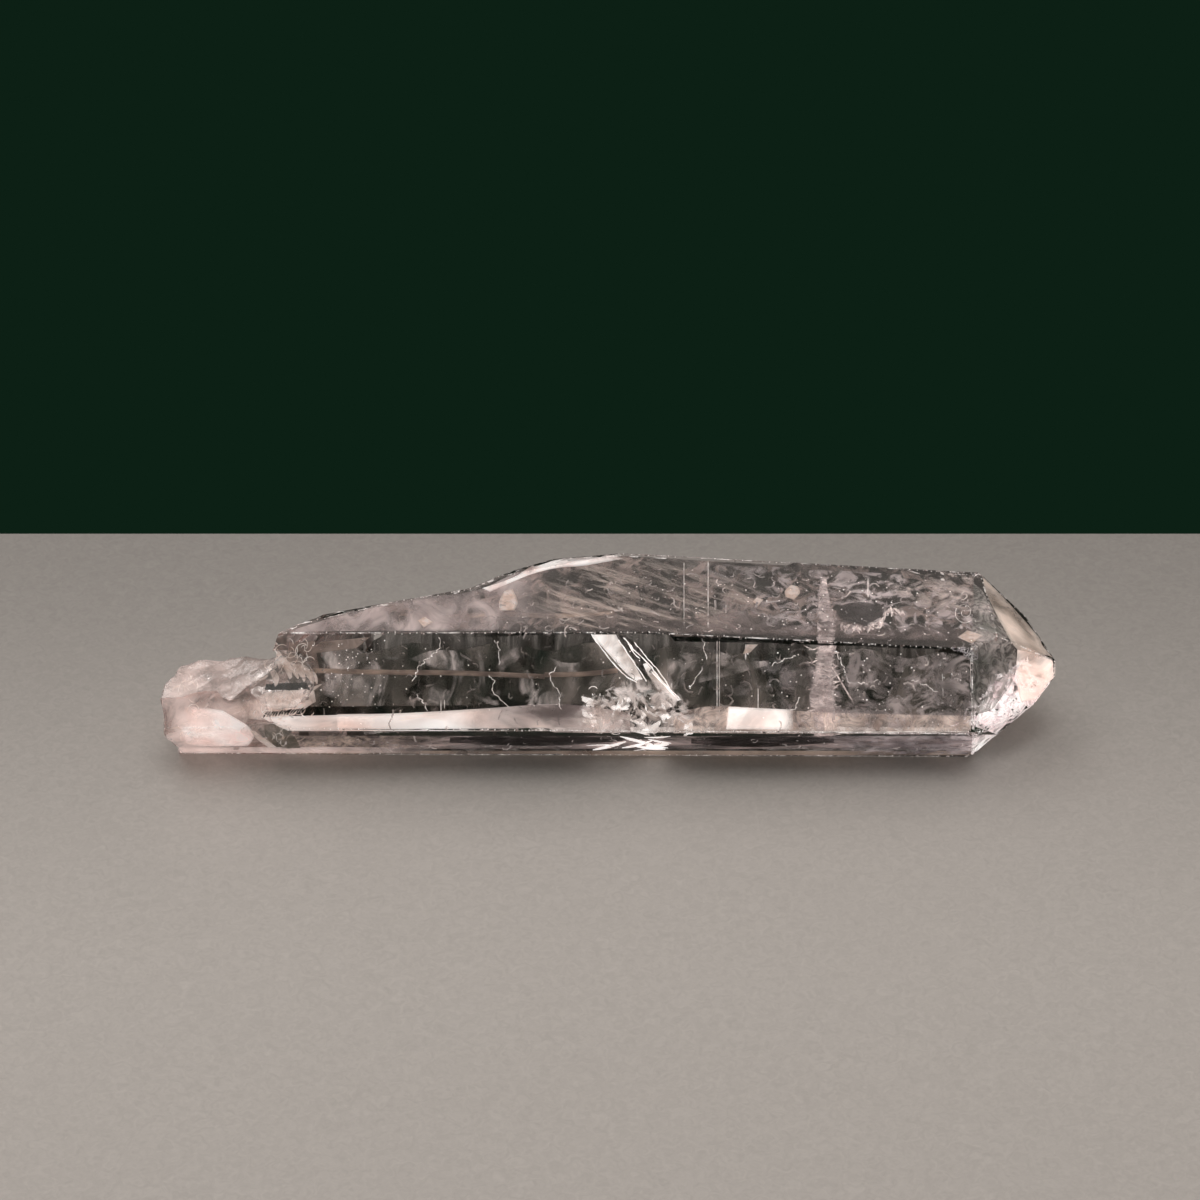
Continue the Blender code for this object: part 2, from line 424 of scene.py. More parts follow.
def scatter_tree(shape, along_edges):
    """Geometry nodes that strew a small shape over faces, or along edges."""
    tree = bpy.data.node_groups.new(f"strew {shape}", "GeometryNodeTree")
    add_sockets(tree, (("Geometry", "Geometry", None), ("Amount", "Float", None),
                       ("Spread", "Float", None), ("Smallest", "Float", None),
                       ("Largest", "Float", None), ("Seed", "Int", None),
                       ("Material", "Material", None)), ("Geometry", "Geometry"))
    given = tree.nodes.new("NodeGroupInput").outputs
    if along_edges:
        curve = add_node(tree, "GeometryNodeMeshToCurve", {"Mesh": given["Geometry"]})
        spots = add_node(tree, "GeometryNodeResampleCurve", {
            "Curve": curve.outputs[0], "Length": given["Amount"]}, mode="LENGTH")
    else:
        spots = add_node(tree, "GeometryNodeDistributePointsOnFaces", {
            "Mesh": given["Geometry"], "Density": given["Amount"], "Seed": given["Seed"]})
    offset = random_value(tree, "FLOAT_VECTOR", (-1.0,) * 3, (1.0,) * 3, 1)
    shift = add_node(tree, "ShaderNodeVectorMath", {0: offset, "Scale": given["Spread"]},
                     operation="SCALE")
    moved = add_node(tree, "GeometryNodeSetPosition", {
        "Geometry": spots.outputs[0], "Offset": shift.outputs[0]})
    strewn = add_node(tree, "GeometryNodeInstanceOnPoints", {
        "Points": moved.outputs[0], "Instance": grain_shape(tree, shape),
        "Rotation": random_value(tree, "FLOAT_VECTOR", (0.0,) * 3, (2.0 * math.pi,) * 3, 2),
        "Scale": random_value(tree, "FLOAT", given["Smallest"], given["Largest"], 3)})
    real = add_node(tree, "GeometryNodeRealizeInstances", {0: strewn.outputs[0]})
    finish = add_node(tree, "GeometryNodeSetMaterial", {
        "Geometry": real.outputs[0], "Material": given["Material"]})
    add_node(tree, "NodeGroupOutput", {0: finish.outputs[0]})
    return tree


def scatter(bm, host, shape, amount, sizes, material, seed, spread, along_edges=False):
    """Strew a small shape over the faces or edges of a host bmesh, and add the result to bm.

    amount is how many fall on a square centimetre, or how many millimetres lie between two on
    an edge. sizes and spread are in millimetres.
    """
    mesh = bpy.data.meshes.new("host")
    host.to_mesh(mesh)
    host.free()
    carrier = add_object("host", mesh)
    tree = scatter_tree(shape, along_edges)
    values = {"Amount": amount * MM if along_edges else amount * SQUARE_CMS, "Spread": spread * MM,
              "Smallest": sizes[0] * MM, "Largest": sizes[1] * MM, "Seed": seed,
              "Material": material}
    modifier = carrier.modifiers.new("strew", "NODES")
    modifier.node_group = tree
    for socket in tree.interface.items_tree:
        if socket.in_out == "INPUT" and socket.name in values:
            modifier[socket.identifier] = values[socket.name]
    result = mesh_of(carrier)
    bpy.data.objects.remove(carrier)
    bm.from_mesh(result)
    bpy.data.meshes.remove(result)
    bpy.data.node_groups.remove(tree)


# ---------------------------------------------------------------- materials

LINE_STRETCH = (2200.0, 60.0, 60.0)     # growth lines lie close along the crystal, long across it
STROKE_SCALE = 420.0
WORN_STRETCH = 500.0            # of the clouds that make faces less smooth
PATCH_CORE = 0.6                # share of a round patch's size within which its mask is whole


def new_material(name):
    """A material with a Principled shader; returns it, its node tree and the shader's inputs."""
    material = bpy.data.materials.new(name)
    material.use_nodes = True
    tree = material.node_tree
    return material, tree, tree.nodes["Principled BSDF"].inputs


def shader_group(name, inputs, output):
    """A new shader group with its sockets; returns it and the sockets that its inputs give."""
    group = bpy.data.node_groups.new(name, "ShaderNodeTree")
    add_sockets(group, inputs, output)
    return group, group.nodes.new("NodeGroupInput").outputs


def object_place(tree):
    """The place of a point in its object's own coordinates."""
    return tree.nodes.new("ShaderNodeTexCoord").outputs["Object"]


def math_node(tree, operation, *values):
    """A math node; each value is a number or a socket. Returns its output."""
    return add_node(tree, "ShaderNodeMath", dict(enumerate(values)), operation=operation).outputs[0]


def vector_math(tree, operation, *values):
    """A vector math node; each value is a vector or a socket."""
    return add_node(tree, "ShaderNodeVectorMath", dict(enumerate(values)), operation=operation)


def ramp(tree, value, start, end):
    """A smooth step from 0 at start to 1 at end."""
    return add_node(tree, "ShaderNodeMapRange", {
        "Value": value, "From Min": start, "From Max": end},
        interpolation_type="SMOOTHSTEP").outputs[0]


def ramp_along(tree, place, axis, start, end):
    """A smooth step from 0 to 1 between two values of one coordinate of a place."""
    apart = add_node(tree, "ShaderNodeSeparateXYZ", {0: place})
    return ramp(tree, apart.outputs[axis], start, end)


def colour_mix(tree, share, low, high):
    """Mix two colours, each a value or a socket; returns the output socket."""
    low, high = (tone if isinstance(tone, bpy.types.NodeSocket) else (*tone, 1.0)
                 for tone in (low, high))
    return add_node(tree, "ShaderNodeMix", {0: share, 6: low, 7: high}, data_type="RGBA").outputs[2]


def cloud_group():
    """Shader group: a soft cloudy mask, which can be stretched into streaks or hairs."""
    known = bpy.data.node_groups.get("cloud mask")
    if known:
        return known
    group, given = shader_group("cloud mask", (
        ("Stretch", "Vector", (1000.0,) * 3), ("Turn", "Float", 0.0), ("Warp", "Float", 0.5),
        ("Detail", "Float", 3.0), ("Low", "Float", 0.4), ("High", "Float", 0.6),
        ("Amount", "Float", 1.0), ("Base", "Float", 0.0)), ("Mask", "Float"))
    turned = add_node(group, "ShaderNodeVectorRotate", {
        "Vector": object_place(group), "Angle": given["Turn"]}, rotation_type="Z_AXIS")
    stretched = vector_math(group, "MULTIPLY", turned.outputs[0], given["Stretch"])
    cloud = add_node(group, "ShaderNodeTexNoise", {
        "Vector": stretched.outputs[0], "Scale": 1.0, "Detail": given["Detail"],
        "Roughness": 0.6, "Distortion": given["Warp"]})
    span = add_node(group, "ShaderNodeMapRange", {
        "Value": cloud.outputs[0], "From Min": given["Low"], "From Max": given["High"]})
    mask = math_node(group, "MULTIPLY_ADD", span.outputs[0], given["Amount"], given["Base"])
    add_node(group, "NodeGroupOutput", {0: mask})
    return group


def cloud_mask(tree, **values):
    """Place the cloud group in a material with its own values; returns the mask socket."""
    return add_node(tree, "ShaderNodeGroup", values, node_tree=cloud_group()).outputs["Mask"]


def round_patch(tree, along, up, half_length, half_breadth):
    """A mask that is 1 round a place seen from the front and falls to 0 at an oval's edge."""
    squeeze = [1.0 / (half * MM) for half in (half_length, half_breadth, half_breadth)]
    shifted = vector_math(tree, "SUBTRACT", object_place(tree), inside(along, up, 0.5))
    scaled = vector_math(tree, "MULTIPLY", shifted.outputs[0], squeeze)
    reach = vector_math(tree, "LENGTH", scaled.outputs[0])
    return ramp(tree, reach.outputs["Value"], 1.0, PATCH_CORE)


def inner_material(name, low, high, cover, rough, stretch=1200.0, warp=0.6,
                   span=(0.35, 0.65), glow=0.0, turn=0.0, fade=None, soft=None):
    """A finish for what lies inside the quartz: two tones in clouds, and an uneven cover.

    cover is (least, most) of how much it hides; stretch is how fine the clouds are, the same
    each way or as (along, back, up). The glow is painted light: an emission that brightens it
    from within. fade is (from, to) along the crystal, in millimetres, where the cover grows from
    nothing. soft is (along, up, half length, half breadth) of a round patch outside which nothing
    is covered.
    """
    if not isinstance(stretch, tuple):
        stretch = (stretch,) * 3
    material, tree, shader = new_material(name)
    tone = cloud_mask(tree, Stretch=stretch, Turn=turn, Warp=0.0, Detail=1.0, Low=0.3, High=0.7)
    mixed = colour_mix(tree, tone, low, high)
    put(mixed, shader["Base Color"])
    # Painted light: an emission that brightens what lies inside the quartz
    if glow:
        put(mixed, shader["Emission Color"])
        put(glow, shader["Emission Strength"])
        material.cycles.emission_sampling = "NONE"
    put(rough, shader["Roughness"])
    put(INNER_IOR, shader["IOR"])
    if cover[0] < 1.0:
        hide = cloud_mask(tree, Stretch=stretch, Turn=turn, Warp=warp, Low=span[0], High=span[1],
                          Amount=cover[1] - cover[0], Base=cover[0])
        if fade:
            grown = ramp_along(tree, object_place(tree), "X", fade[0] * MM, fade[1] * MM)
            hide = math_node(tree, "MULTIPLY", hide, grown)
        if soft:
            hide = math_node(tree, "MULTIPLY", hide, round_patch(tree, *soft))
        put(hide, shader["Alpha"])
    return material


def relief_group():
    """Shader group: fine growth lines across the crystal and faint curling strokes."""
    known = bpy.data.node_groups.get("growth relief")
    if known:
        return known
    group, given = shader_group(
        "growth relief", (("Lines", "Float", 0.5), ("Strokes", "Float", 0.5)), ("Height", "Float"))
    place = object_place(group)
    stretched = vector_math(group, "MULTIPLY", place, LINE_STRETCH)
    lines = add_node(group, "ShaderNodeTexNoise", {
        "Vector": stretched.outputs[0], "Scale": 1.0, "Detail": 3.0})
    strokes = add_node(group, "ShaderNodeTexNoise", {
        "Vector": place, "Scale": STROKE_SCALE, "Detail": 2.0, "Distortion": 3.0})
    some = math_node(group, "MULTIPLY", lines.outputs[0], given["Lines"])
    both = math_node(group, "MULTIPLY_ADD", strokes.outputs[0], given["Strokes"], some)
    add_node(group, "NodeGroupOutput", {0: both})
    return group


def quartz_material(settings, name, rough, clear, lines, strokes, relief):
    """Quartz that light passes through, with a faint peach tint.

    rough is its (least, most) roughness, clear is 1 for see-through faces and less for milky
    breaks, lines and strokes weigh the relief, and relief is its depth in millimetres.
    """
    material, tree, shader = new_material(name)
    body = (1.0, 1.0, 1.0) if clear == 1.0 else MILKY
    put((*body, 1.0), shader["Base Color"])
    put(0.0, shader["Metallic"])
    put(QUARTZ_IOR, shader["IOR"])
    put(clear, shader["Transmission Weight"])
    worn = cloud_mask(tree, Stretch=(WORN_STRETCH,) * 3, Warp=1.0, Low=0.4, High=0.7,
                      Amount=rough[1] - rough[0], Base=rough[0])
    put(worn, shader["Roughness"])
    growth = add_node(tree, "ShaderNodeGroup", {"Lines": lines, "Strokes": strokes},
                      node_tree=relief_group())
    bump = add_node(tree, "ShaderNodeBump", {
        "Distance": relief * MM, "Height": growth.outputs["Height"]})
    put(bump.outputs["Normal"], shader["Normal"])
    absorb = add_node(tree, "ShaderNodeVolumeAbsorption", {
        "Color": (*settings.tint, 1.0), "Density": settings.absorption})
    put(absorb.outputs[0], tree.nodes["Material Output"].inputs["Volume"])
    return material


# ---------------------------------------------------------------- the clear body

FLAT_AREA = 4.0 * MM * MM       # faces larger than this are crystal faces, smaller ones are broken
FLAT_ANGLE = math.radians(0.3)  # parts of one flat face turn less than this
SHARP_ANGLE = math.radians(8.0)
SHORT_EDGE = 1.5 * MM
CHIP_LEAST = 0.04               # radius of the smallest chips, in millimetres
CHIP_SPREAD = 0.25
SMOOTHINGS = 2                  # of the broken surfaces, before they get their relief

# Relief of the broken surfaces: rings round a point and lumps, with heights in millimetres
WARP_SIZE, WARP_REACH = 1.6 * MM, 0.9 * MM
RING_CENTRE, RING_SIZE, RING_HEIGHT = Vector((-30.0, -9.0, 5.0)) * MM, 0.16 * MM, 0.035
LUMP_SIZE, LUMP_HEIGHT = 0.9 * MM, 0.16


def clean_solid():
    """The crystal's solid with its flat faces whole again."""
    bm = bmesh.new()
    bm.from_mesh(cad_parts[NODE].data)
    bmesh.ops.remove_doubles(bm, verts=bm.verts[:], dist=WELD)
    bmesh.ops.dissolve_limit(bm, angle_limit=FLAT_ANGLE, verts=bm.verts[:], edges=bm.edges[:])
    return bm


def is_flat(face):
    """Whether a face is one of the crystal's large flat faces."""
    return face.calc_area() > FLAT_AREA


def refine_breaks(bm):
    """Give the broken surfaces a fine, shell-like relief; their rims stay where they are."""
    broken = [face for face in bm.faces if not is_flat(face)]
    bmesh.ops.triangulate(bm, faces=broken)
    broken = [face for face in bm.faces if not is_flat(face)]
    edges = {edge for face in broken for edge in face.edges}
    bmesh.ops.subdivide_edges(bm, edges=list(edges), cuts=2, use_grid_fill=True)
    free = [vert for vert in bm.verts if not any(is_flat(face) for face in vert.link_faces)]
    for _ in range(SMOOTHINGS):
        bmesh.ops.smooth_vert(
            bm, verts=free, factor=0.5, use_axis_x=True, use_axis_y=True, use_axis_z=True)
    bm.normal_update()
    moves = []
    for vert in free:
        warped = vert.co + noise.noise_vector(vert.co / WARP_SIZE) * WARP_REACH
        rings = math.sin((warped - RING_CENTRE).length / RING_SIZE)
        lumps = noise.noise(warped / LUMP_SIZE)
        moves.append(vert.normal * ((RING_HEIGHT * rings + LUMP_HEIGHT * lumps) * MM))
    for vert, move in zip(free, moves):
        vert.co = [min(max(part, low), high)
                   for part, low, high in zip(vert.co + move, BOX_LOW, BOX_HIGH)]


def sharp_edges(bm):
    """The long edges between two crystal faces, as pairs of points."""
    pairs = []
    for edge in bm.edges:
        if len(edge.link_faces) == 2 and edge.calc_face_angle() > SHARP_ANGLE:
            if all(is_flat(face) for face in edge.link_faces) and edge.calc_length() > SHORT_EDGE:
                pairs.append([vert.co.copy() for vert in edge.verts])
    return pairs


def carve(body, cutter):
    """Cut one object out of another, and remove it."""
    boolean = body.modifiers.new("chips", "BOOLEAN")
    boolean.operation = "DIFFERENCE"
    boolean.solver = "EXACT"
    boolean.use_self = True
    boolean.object = cutter
    carved = mesh_of(body)
    body.modifiers.remove(boolean)
    body.data = carved
    bpy.data.objects.remove(cutter)


class QUARTZ_OT_crystal(bpy.types.Operator):
    """Make the clear body of the crystal, with its chipped edges and broken root end"""

    bl_idname = "quartz.crystal"
    bl_label = "Clear Crystal"

    def execute(self, context):
        settings = context.scene.quartz
        clear = quartz_material(settings, "clear_quartz", rough=(0.0, 0.02), clear=1.0,
                                lines=0.5, strokes=0.12, relief=0.010)
        frosted = quartz_material(settings, "broken_quartz", rough=(0.05, 0.28), clear=0.80,
                                  lines=0.2, strokes=1.0, relief=0.04)
        bm = clean_solid()
        pairs = sharp_edges(bm)
        refine_breaks(bm)
        for face in bm.faces:
            face.material_index = 0 if is_flat(face) else 1
            face.smooth = not is_flat(face)
        mesh = bpy.data.meshes.new("clear_crystal")
        bm.to_mesh(mesh)
        bm.free()
        mesh.materials.append(clear)
        mesh.materials.append(frosted)
        body = add_object("clear_crystal", mesh)
        chips = bmesh.new()
        spacing, largest = (round(length / MM, 4) for length in (
            settings.chip_spacing, settings.chip_size))
        scatter(chips, edge_host(pairs), "bead", spacing, (CHIP_LEAST, largest), clear, SEED,
                spread=CHIP_SPREAD, along_edges=True)
        carve(body, object_from("chips", chips, clear, smooth=False))
        settle(body)
        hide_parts(NODE)
        return {"FINISHED"}


# ---------------------------------------------------------------- fractures

PALE = (0.90, 0.80, 0.76)
WHITE = (1.0, 0.97, 0.95)
PEACH = (0.80, 0.62, 0.52)
MAUVE = (0.34, 0.30, 0.30)
DARK = (0.012, 0.018, 0.014)

# The diagonal fracture: its blades as (left edge, right edge, depths), in millimetres
FRACTURE_BLADES = (
    (((-2.1, 13.7), (-1.0, 12.4), (1.5, 9.6), (2.9, 8.5)),
     ((0.6, 13.7), (1.0, 12.9), (2.0, 11.5), (3.6, 8.7)), (0.5, 0.9)),
    (((3.6, 10.4), (4.3, 9.0), (5.6, 7.6), (7.2, 6.2)),
     ((4.0, 10.5), (5.3, 9.1), (6.6, 7.7), (7.9, 6.4)), (0.6, 0.9)),
)
FRACTURE_SHADES = (
    (((0.9, 13.6), (2.2, 11.8), (3.6, 9.6), (4.6, 8.8)),
     ((1.7, 13.6), (3.1, 12.2), (4.4, 10.4), (5.0, 9.4)), (0.6, 0.9)),
)
FRACTURE_LINES = (
    ((1.4, 13.4), (2.6, 12.0), (4.6, 10.0), (5.9, 8.2), (7.6, 6.3)),
    ((0.8, 13.2), (1.9, 11.6), (3.2, 9.7), (4.0, 8.4)),
    ((2.6, 12.9), (3.9, 11.3), (5.6, 9.3), (6.6, 7.7)),
    ((-2.2, 13.8), (-0.9, 12.0), (1.3, 9.4), (3.0, 8.3)),
    ((4.5, 9.6), (5.7, 8.4), (7.8, 6.5)),
    ((1.9, 12.9), (2.6, 11.6), (3.3, 11.0)),
)


ANY_TURN = (0.0, 6.3)
HALF_TURN = (0.0, math.pi)
CURL_START, CURL_GROWTH = 0.7, 0.3      # shares of a curl's radius
PETAL_POINTS = 5                # along each side of a petal
PETAL_TIP, PETAL_SPAN, PETAL_ROUND = 0.06, 0.88, 0.8    # how a petal's width runs out
PETAL_DIP = 0.4                 # its far end lies this much deeper, in millimetres
PETAL_LUMP = 0.9                # size of the lumps that bend it


def curl_line(centre, radius, turn, sweep, count):
    """A round stroke seen from the front: (along, up) points of an arc that opens slowly."""
    points = []
    for index in range(count):
        angle = turn + sweep * index / (count - 1)
        reach = radius * (CURL_START + CURL_GROWTH * index / (count - 1))
        points.append((centre[0] + reach * math.cos(angle), centre[1] + reach * math.sin(angle)))
    return points


def petal(bm, centre, length, width, turn, deep, curl, rows=6, wave=0.25):
    """A small curved blade seen from the front, round its centre; turn is its direction."""
    ahead = Vector((math.cos(turn), math.sin(turn)))
    aside = Vector((-ahead.y, ahead.x))
    left, right = [], []
    for index in range(PETAL_POINTS):
        share = index / (PETAL_POINTS - 1)
        spine = Vector(centre) + ahead * ((share - 0.5) * length) + aside * (
            curl * width * math.sin(math.pi * share))
        half = 0.5 * width * math.sin(math.pi * (PETAL_TIP + PETAL_SPAN * share)) ** PETAL_ROUND
        left.append(tuple(spine - aside * half))
        right.append(tuple(spine + aside * half))
    leaf(bm, left, right, (deep, deep + PETAL_DIP), rows=rows, columns=3, wave=wave,
         size=PETAL_LUMP)


def petals(bm, spots, draw, lengths, widths, turns, depths, bow=0.8):
    """Petals at each spot, with sizes, directions and depths drawn at random from ranges."""
    for spot in spots:
        petal(bm, spot, draw.uniform(*lengths), draw.uniform(*widths), draw.uniform(*turns),
              draw.uniform(*depths), curl=draw.uniform(-bow, bow))


def curls(bm, spots, draw, radii, sweeps, deep, radius, step=0.15, count=7):
    """Round strokes at each spot, drawn at random from ranges; deep is a depth or a range."""
    for spot in spots:
        line = curl_line(spot, draw.uniform(*radii), draw.uniform(*ANY_TURN),
                         draw.uniform(*sweeps), count)
        depth = draw.uniform(*deep) if isinstance(deep, tuple) else deep
        strand(bm, line, depth, radius, step=step)


def spots_in(draw, count, low, high):
    """Random (along, up) spots in a rectangle."""
    return [(draw.uniform(low[0], high[0]), draw.uniform(low[1], high[1])) for _ in range(count)]


class QUARTZ_OT_fracture(bpy.types.Operator):
    """Make the diagonal fracture with its blades, its bright lines and the crushed patch below"""

    bl_idname = "quartz.fracture"
    bl_label = "Diagonal Fracture"

    def execute(self, context):
        draw = random.Random(SEED)
        pale = inner_material("fracture_pale", (0.50, 0.42, 0.38), WHITE, (0.35, 0.97),
                              stretch=450.0, span=(0.3, 0.6), rough=0.2, glow=0.75)
        bright = inner_material("fracture_bright", PALE, WHITE, (1.0, 1.0), rough=0.15, glow=1.0)
        shade = inner_material("fracture_shade", DARK, MAUVE, (0.5, 0.9), rough=0.1)
        bm = bmesh.new()
        for left, right, deep in FRACTURE_BLADES:
            leaf(bm, left, right, deep, rows=18, wave=0.5, size=1.6)
        petals(bm, spots_in(draw, 46, (-3.0, 3.2), (8.6, 7.4)), draw, (0.8, 2.6), (0.25, 0.8),
               HALF_TURN, (0.3, 2.4))
        settle(object_from("diagonal_fracture", bm, pale))
        bm = bmesh.new()
        for points in FRACTURE_LINES:
            strand(bm, points, 0.45, 0.055, jitter=0.12, beads=0.8)
        curls(bm, spots_in(draw, 26, (-2.6, 3.0), (8.8, 7.4)), draw, (0.25, 0.7), (0.8, 2.4),
              (0.6, 2.0), 0.04)
        petals(bm, spots_in(draw, 12, (-1.5, 0.9), (7.6, 2.3)), draw, (1.5, 4.0), (0.10, 0.45),
               (-0.25, 0.3), (0.2, 0.5))
        settle(object_from("fracture_highlights", bm, bright))
        bm = bmesh.new()
        for left, right, deep in FRACTURE_SHADES:
            leaf(bm, left, right, deep, rows=14, wave=0.3)
        petals(bm, spots_in(draw, 16, (-1.0, 3.4), (9.2, 6.8)), draw, (0.5, 1.6), (0.15, 0.45),
               HALF_TURN, (0.7, 2.0))
        settle(object_from("fracture_shadows", bm, shade))
        return {"FINISHED"}


# ---------------------------------------------------------------- veils

# Feathery veil across the crystal: (left edge, right edge) seen through each face
VEIL_PARTS = (
    (((23.7, 20.2), (23.3, 17.6), (23.1, 15.3), (23.2, 13.1)),
     ((24.1, 20.2), (24.5, 17.6), (25.2, 14.8), (24.9, 13.1))),
    (((23.3, 12.4), (22.9, 9.7), (22.3, 6.4), (23.1, 2.9)),
     ((24.7, 12.4), (24.8, 9.7), (25.0, 6.4), (25.2, 2.9))),
)
VEIL_DEPTHS = (0.3, 2.0, 3.8)

# Dark lens behind the veil, and the pale fringe along its lower right side
LENS = (((25.2, 15.4), (26.4, 15.0), (28.6, 14.9), (30.4, 15.8)),
        ((25.3, 16.6), (26.6, 17.2), (28.8, 17.3), (30.7, 16.6)))
FRINGE = ((25.4, 14.7), (27.9, 14.4), (30.0, 14.8), (30.8, 16.2), (32.6, 16.2))

# Pale patches: (left edge, right edge, depths)
PATCHES = (
    (((-21.6, 15.3), (-20.8, 15.7)), ((-20.9, 14.5), (-19.9, 15.1)), (0.3, 0.4)),
    (((-12.4, 16.4), (-12.5, 17.4), (-11.9, 18.6)), ((-10.8, 16.4), (-10.4, 17.4), (-11.0, 18.8)),
     (0.3, 0.4)),
    (((38.8, 13.4), (39.9, 14.2)), ((40.4, 12.7), (41.8, 13.6)), (0.3, 0.4)),
    (((19.6, 17.9), (19.5, 18.6), (20.2, 19.3)), ((20.5, 17.6), (21.2, 18.4), (20.9, 19.1)),
     (0.3, 0.4)),
    (((15.9, 17.4), (16.4, 17.9)), ((16.5, 16.9), (17.1, 17.6)), (0.3, 0.4)),
    (((14.8, 11.5), (15.2, 12.6)), ((15.6, 11.7), (16.5, 12.6)), (0.5, 0.5)),
)


class QUARTZ_OT_veils(bpy.types.Operator):
    """Make the feathery veil, the dark lens beside it and the cloudy patches"""

    bl_idname = "quartz.veils"
    bl_label = "Veils"

    def execute(self, context):
        draw = random.Random(SEED + 1)
        feather = inner_material("feather", (0.36, 0.29, 0.28), (0.92, 0.79, 0.76), (0.0, 0.85),
                                 stretch=(600.0, 900.0, 1500.0), warp=1.6, span=(0.36, 0.62),
                                 rough=0.5, glow=0.38)
        bm = bmesh.new()
        for left, right in VEIL_PARTS:
            for deep, shift in zip(VEIL_DEPTHS, (0.0, -0.15, 0.15)):
                one, other = ([(x + shift, y) for x, y in side] for side in (left, right))
                leaf(bm, one, other, (deep, deep + 0.4), rows=30, columns=8, wave=0.8, size=1.2)
        settle(object_from("feather_veil", bm, feather))
        fringe = inner_material("fringe", (0.50, 0.40, 0.38), PALE, (0.1, 0.9),
                                stretch=(2400.0, 900.0, 900.0), warp=1.5, span=(0.35, 0.6),
                                rough=0.5, glow=0.6)
        bm = bmesh.new()
        petals(bm, (flow(FRINGE, draw.random()) for _ in range(46)), draw, (0.5, 1.4),
               (0.12, 0.35), (0.6, 2.4), (0.3, 1.2), bow=1.0)
        petals(bm, spots_in(draw, 90, (22.2, 2.9), (25.5, 12.4)), draw, (0.5, 1.5),
               (0.08, 0.2), (-0.5, 0.6), (0.6, 2.4), bow=1.0)
        for index in range(9):
            petal(bm, (25.1 + 0.2 * index, 9.5 - 0.34 * index), 1.9, 0.15, -1.0, 0.8, curl=0.3,
                  wave=0.05)
        settle(object_from("veil_fringe", bm, fringe))
        lens = inner_material("lens", DARK, (0.16, 0.14, 0.14), (0.50, 0.95), stretch=500.0,
                              span=(0.3, 0.6), rough=0.1, soft=(28.0, 16.1, 3.3, 2.6))
        bm = bmesh.new()
        leaf(bm, *LENS, (0.35, 0.35), rows=12, columns=16, wave=0.1)
        settle(object_from("dark_lens", bm, lens))
        patch = inner_material("patch", PEACH, PALE, (0.55, 0.95), span=(0.3, 0.6), rough=0.3,
                               glow=0.25)
        bm = bmesh.new()
        for left, right, deep in PATCHES:
            leaf(bm, left, right, deep, rows=8, wave=0.3)
        settle(object_from("pale_patches", bm, patch))
        return {"FINISHED"}


# ---------------------------------------------------------------- lines and threads

# Straight needles, and four short bright dashes that are painted sparkles: start, end and radius
NEEDLES_AND_PAINTED_SPARKLES = (
    ((11.9, 13.0), (11.9, 2.8), 0.045), ((12.15, 13.0), (12.15, 3.0), 0.03),
    ((16.5, 7.7), (16.5, 2.9), 0.05), ((10.9, 21.9), (10.9, 14.4), 0.045),
    ((8.2, 21.8), (8.2, 14.4), 0.035), ((40.5, 11.0), (40.5, 3.1), 0.035),
    ((28.8, 20.0), (28.8, 17.9), 0.09), ((15.1, 12.6), (15.1, 10.9), 0.08),
    ((12.9, 17.2), (12.9, 14.4), 0.03), ((37.1, 9.4), (37.2, 6.8), 0.03),
    ((-19.0, 6.4), (-19.0, 3.0), 0.05), ((-18.6, 6.4), (-18.6, 5.4), 0.04),
    # Painted sparkles: short bright dashes near the top edge
    ((36.9, 20.7), (37.3, 20.4), 0.14), ((36.9, 19.9), (37.4, 19.8), 0.16),
    ((39.3, 20.0), (40.3, 20.0), 0.09), ((33.2, 20.9), (34.6, 20.5), 0.09),
)
THREADS = (
    ((-13.8, 9.2), (-13.0, 8.5), (-13.3, 7.6), (-12.4, 6.7), (-11.8, 6.0), (-11.3, 5.4)),
    ((-6.0, 10.0), (-6.8, 9.2), (-6.6, 8.3), (-5.7, 7.2), (-5.9, 6.3), (-5.5, 5.3)),
    ((-19.2, 13.3), (-19.1, 12.4), (-20.4, 11.1), (-21.5, 10.1), (-22.1, 8.5)),
    ((-13.2, 13.0), (-12.5, 12.6), (-12.5, 11.4), (-12.5, 10.4)),
    ((10.2, 13.4), (10.5, 12.0), (10.7, 10.9)),
    ((10.4, 10.1), (9.3, 8.5), (8.9, 7.8)),
    ((20.1, 5.0), (21.3, 6.7)),
    ((25.4, 11.8), (26.0, 10.0), (26.5, 8.6), (27.3, 8.1)),
    ((27.3, 8.3), (28.6, 8.2), (29.8, 8.6)),
    ((-21.8, 7.0), (-21.0, 6.2), (-20.6, 5.2)),
    ((18.0, 10.2), (19.4, 10.9), (20.8, 11.4)),
    ((33.6, 8.6), (35.4, 8.0), (36.6, 7.2)),
)
PEACH_LINES = (
    ((-34.8, 9.7), (-25.8, 9.5), (-16.9, 9.4), (-7.4, 9.0)),
    ((-7.4, 9.2), (-3.0, 9.3), (0.8, 9.7)),
    ((-23.6, 16.1), (-17.9, 15.7), (-12.4, 16.0), (-5.7, 15.8), (0.4, 16.2)),
)


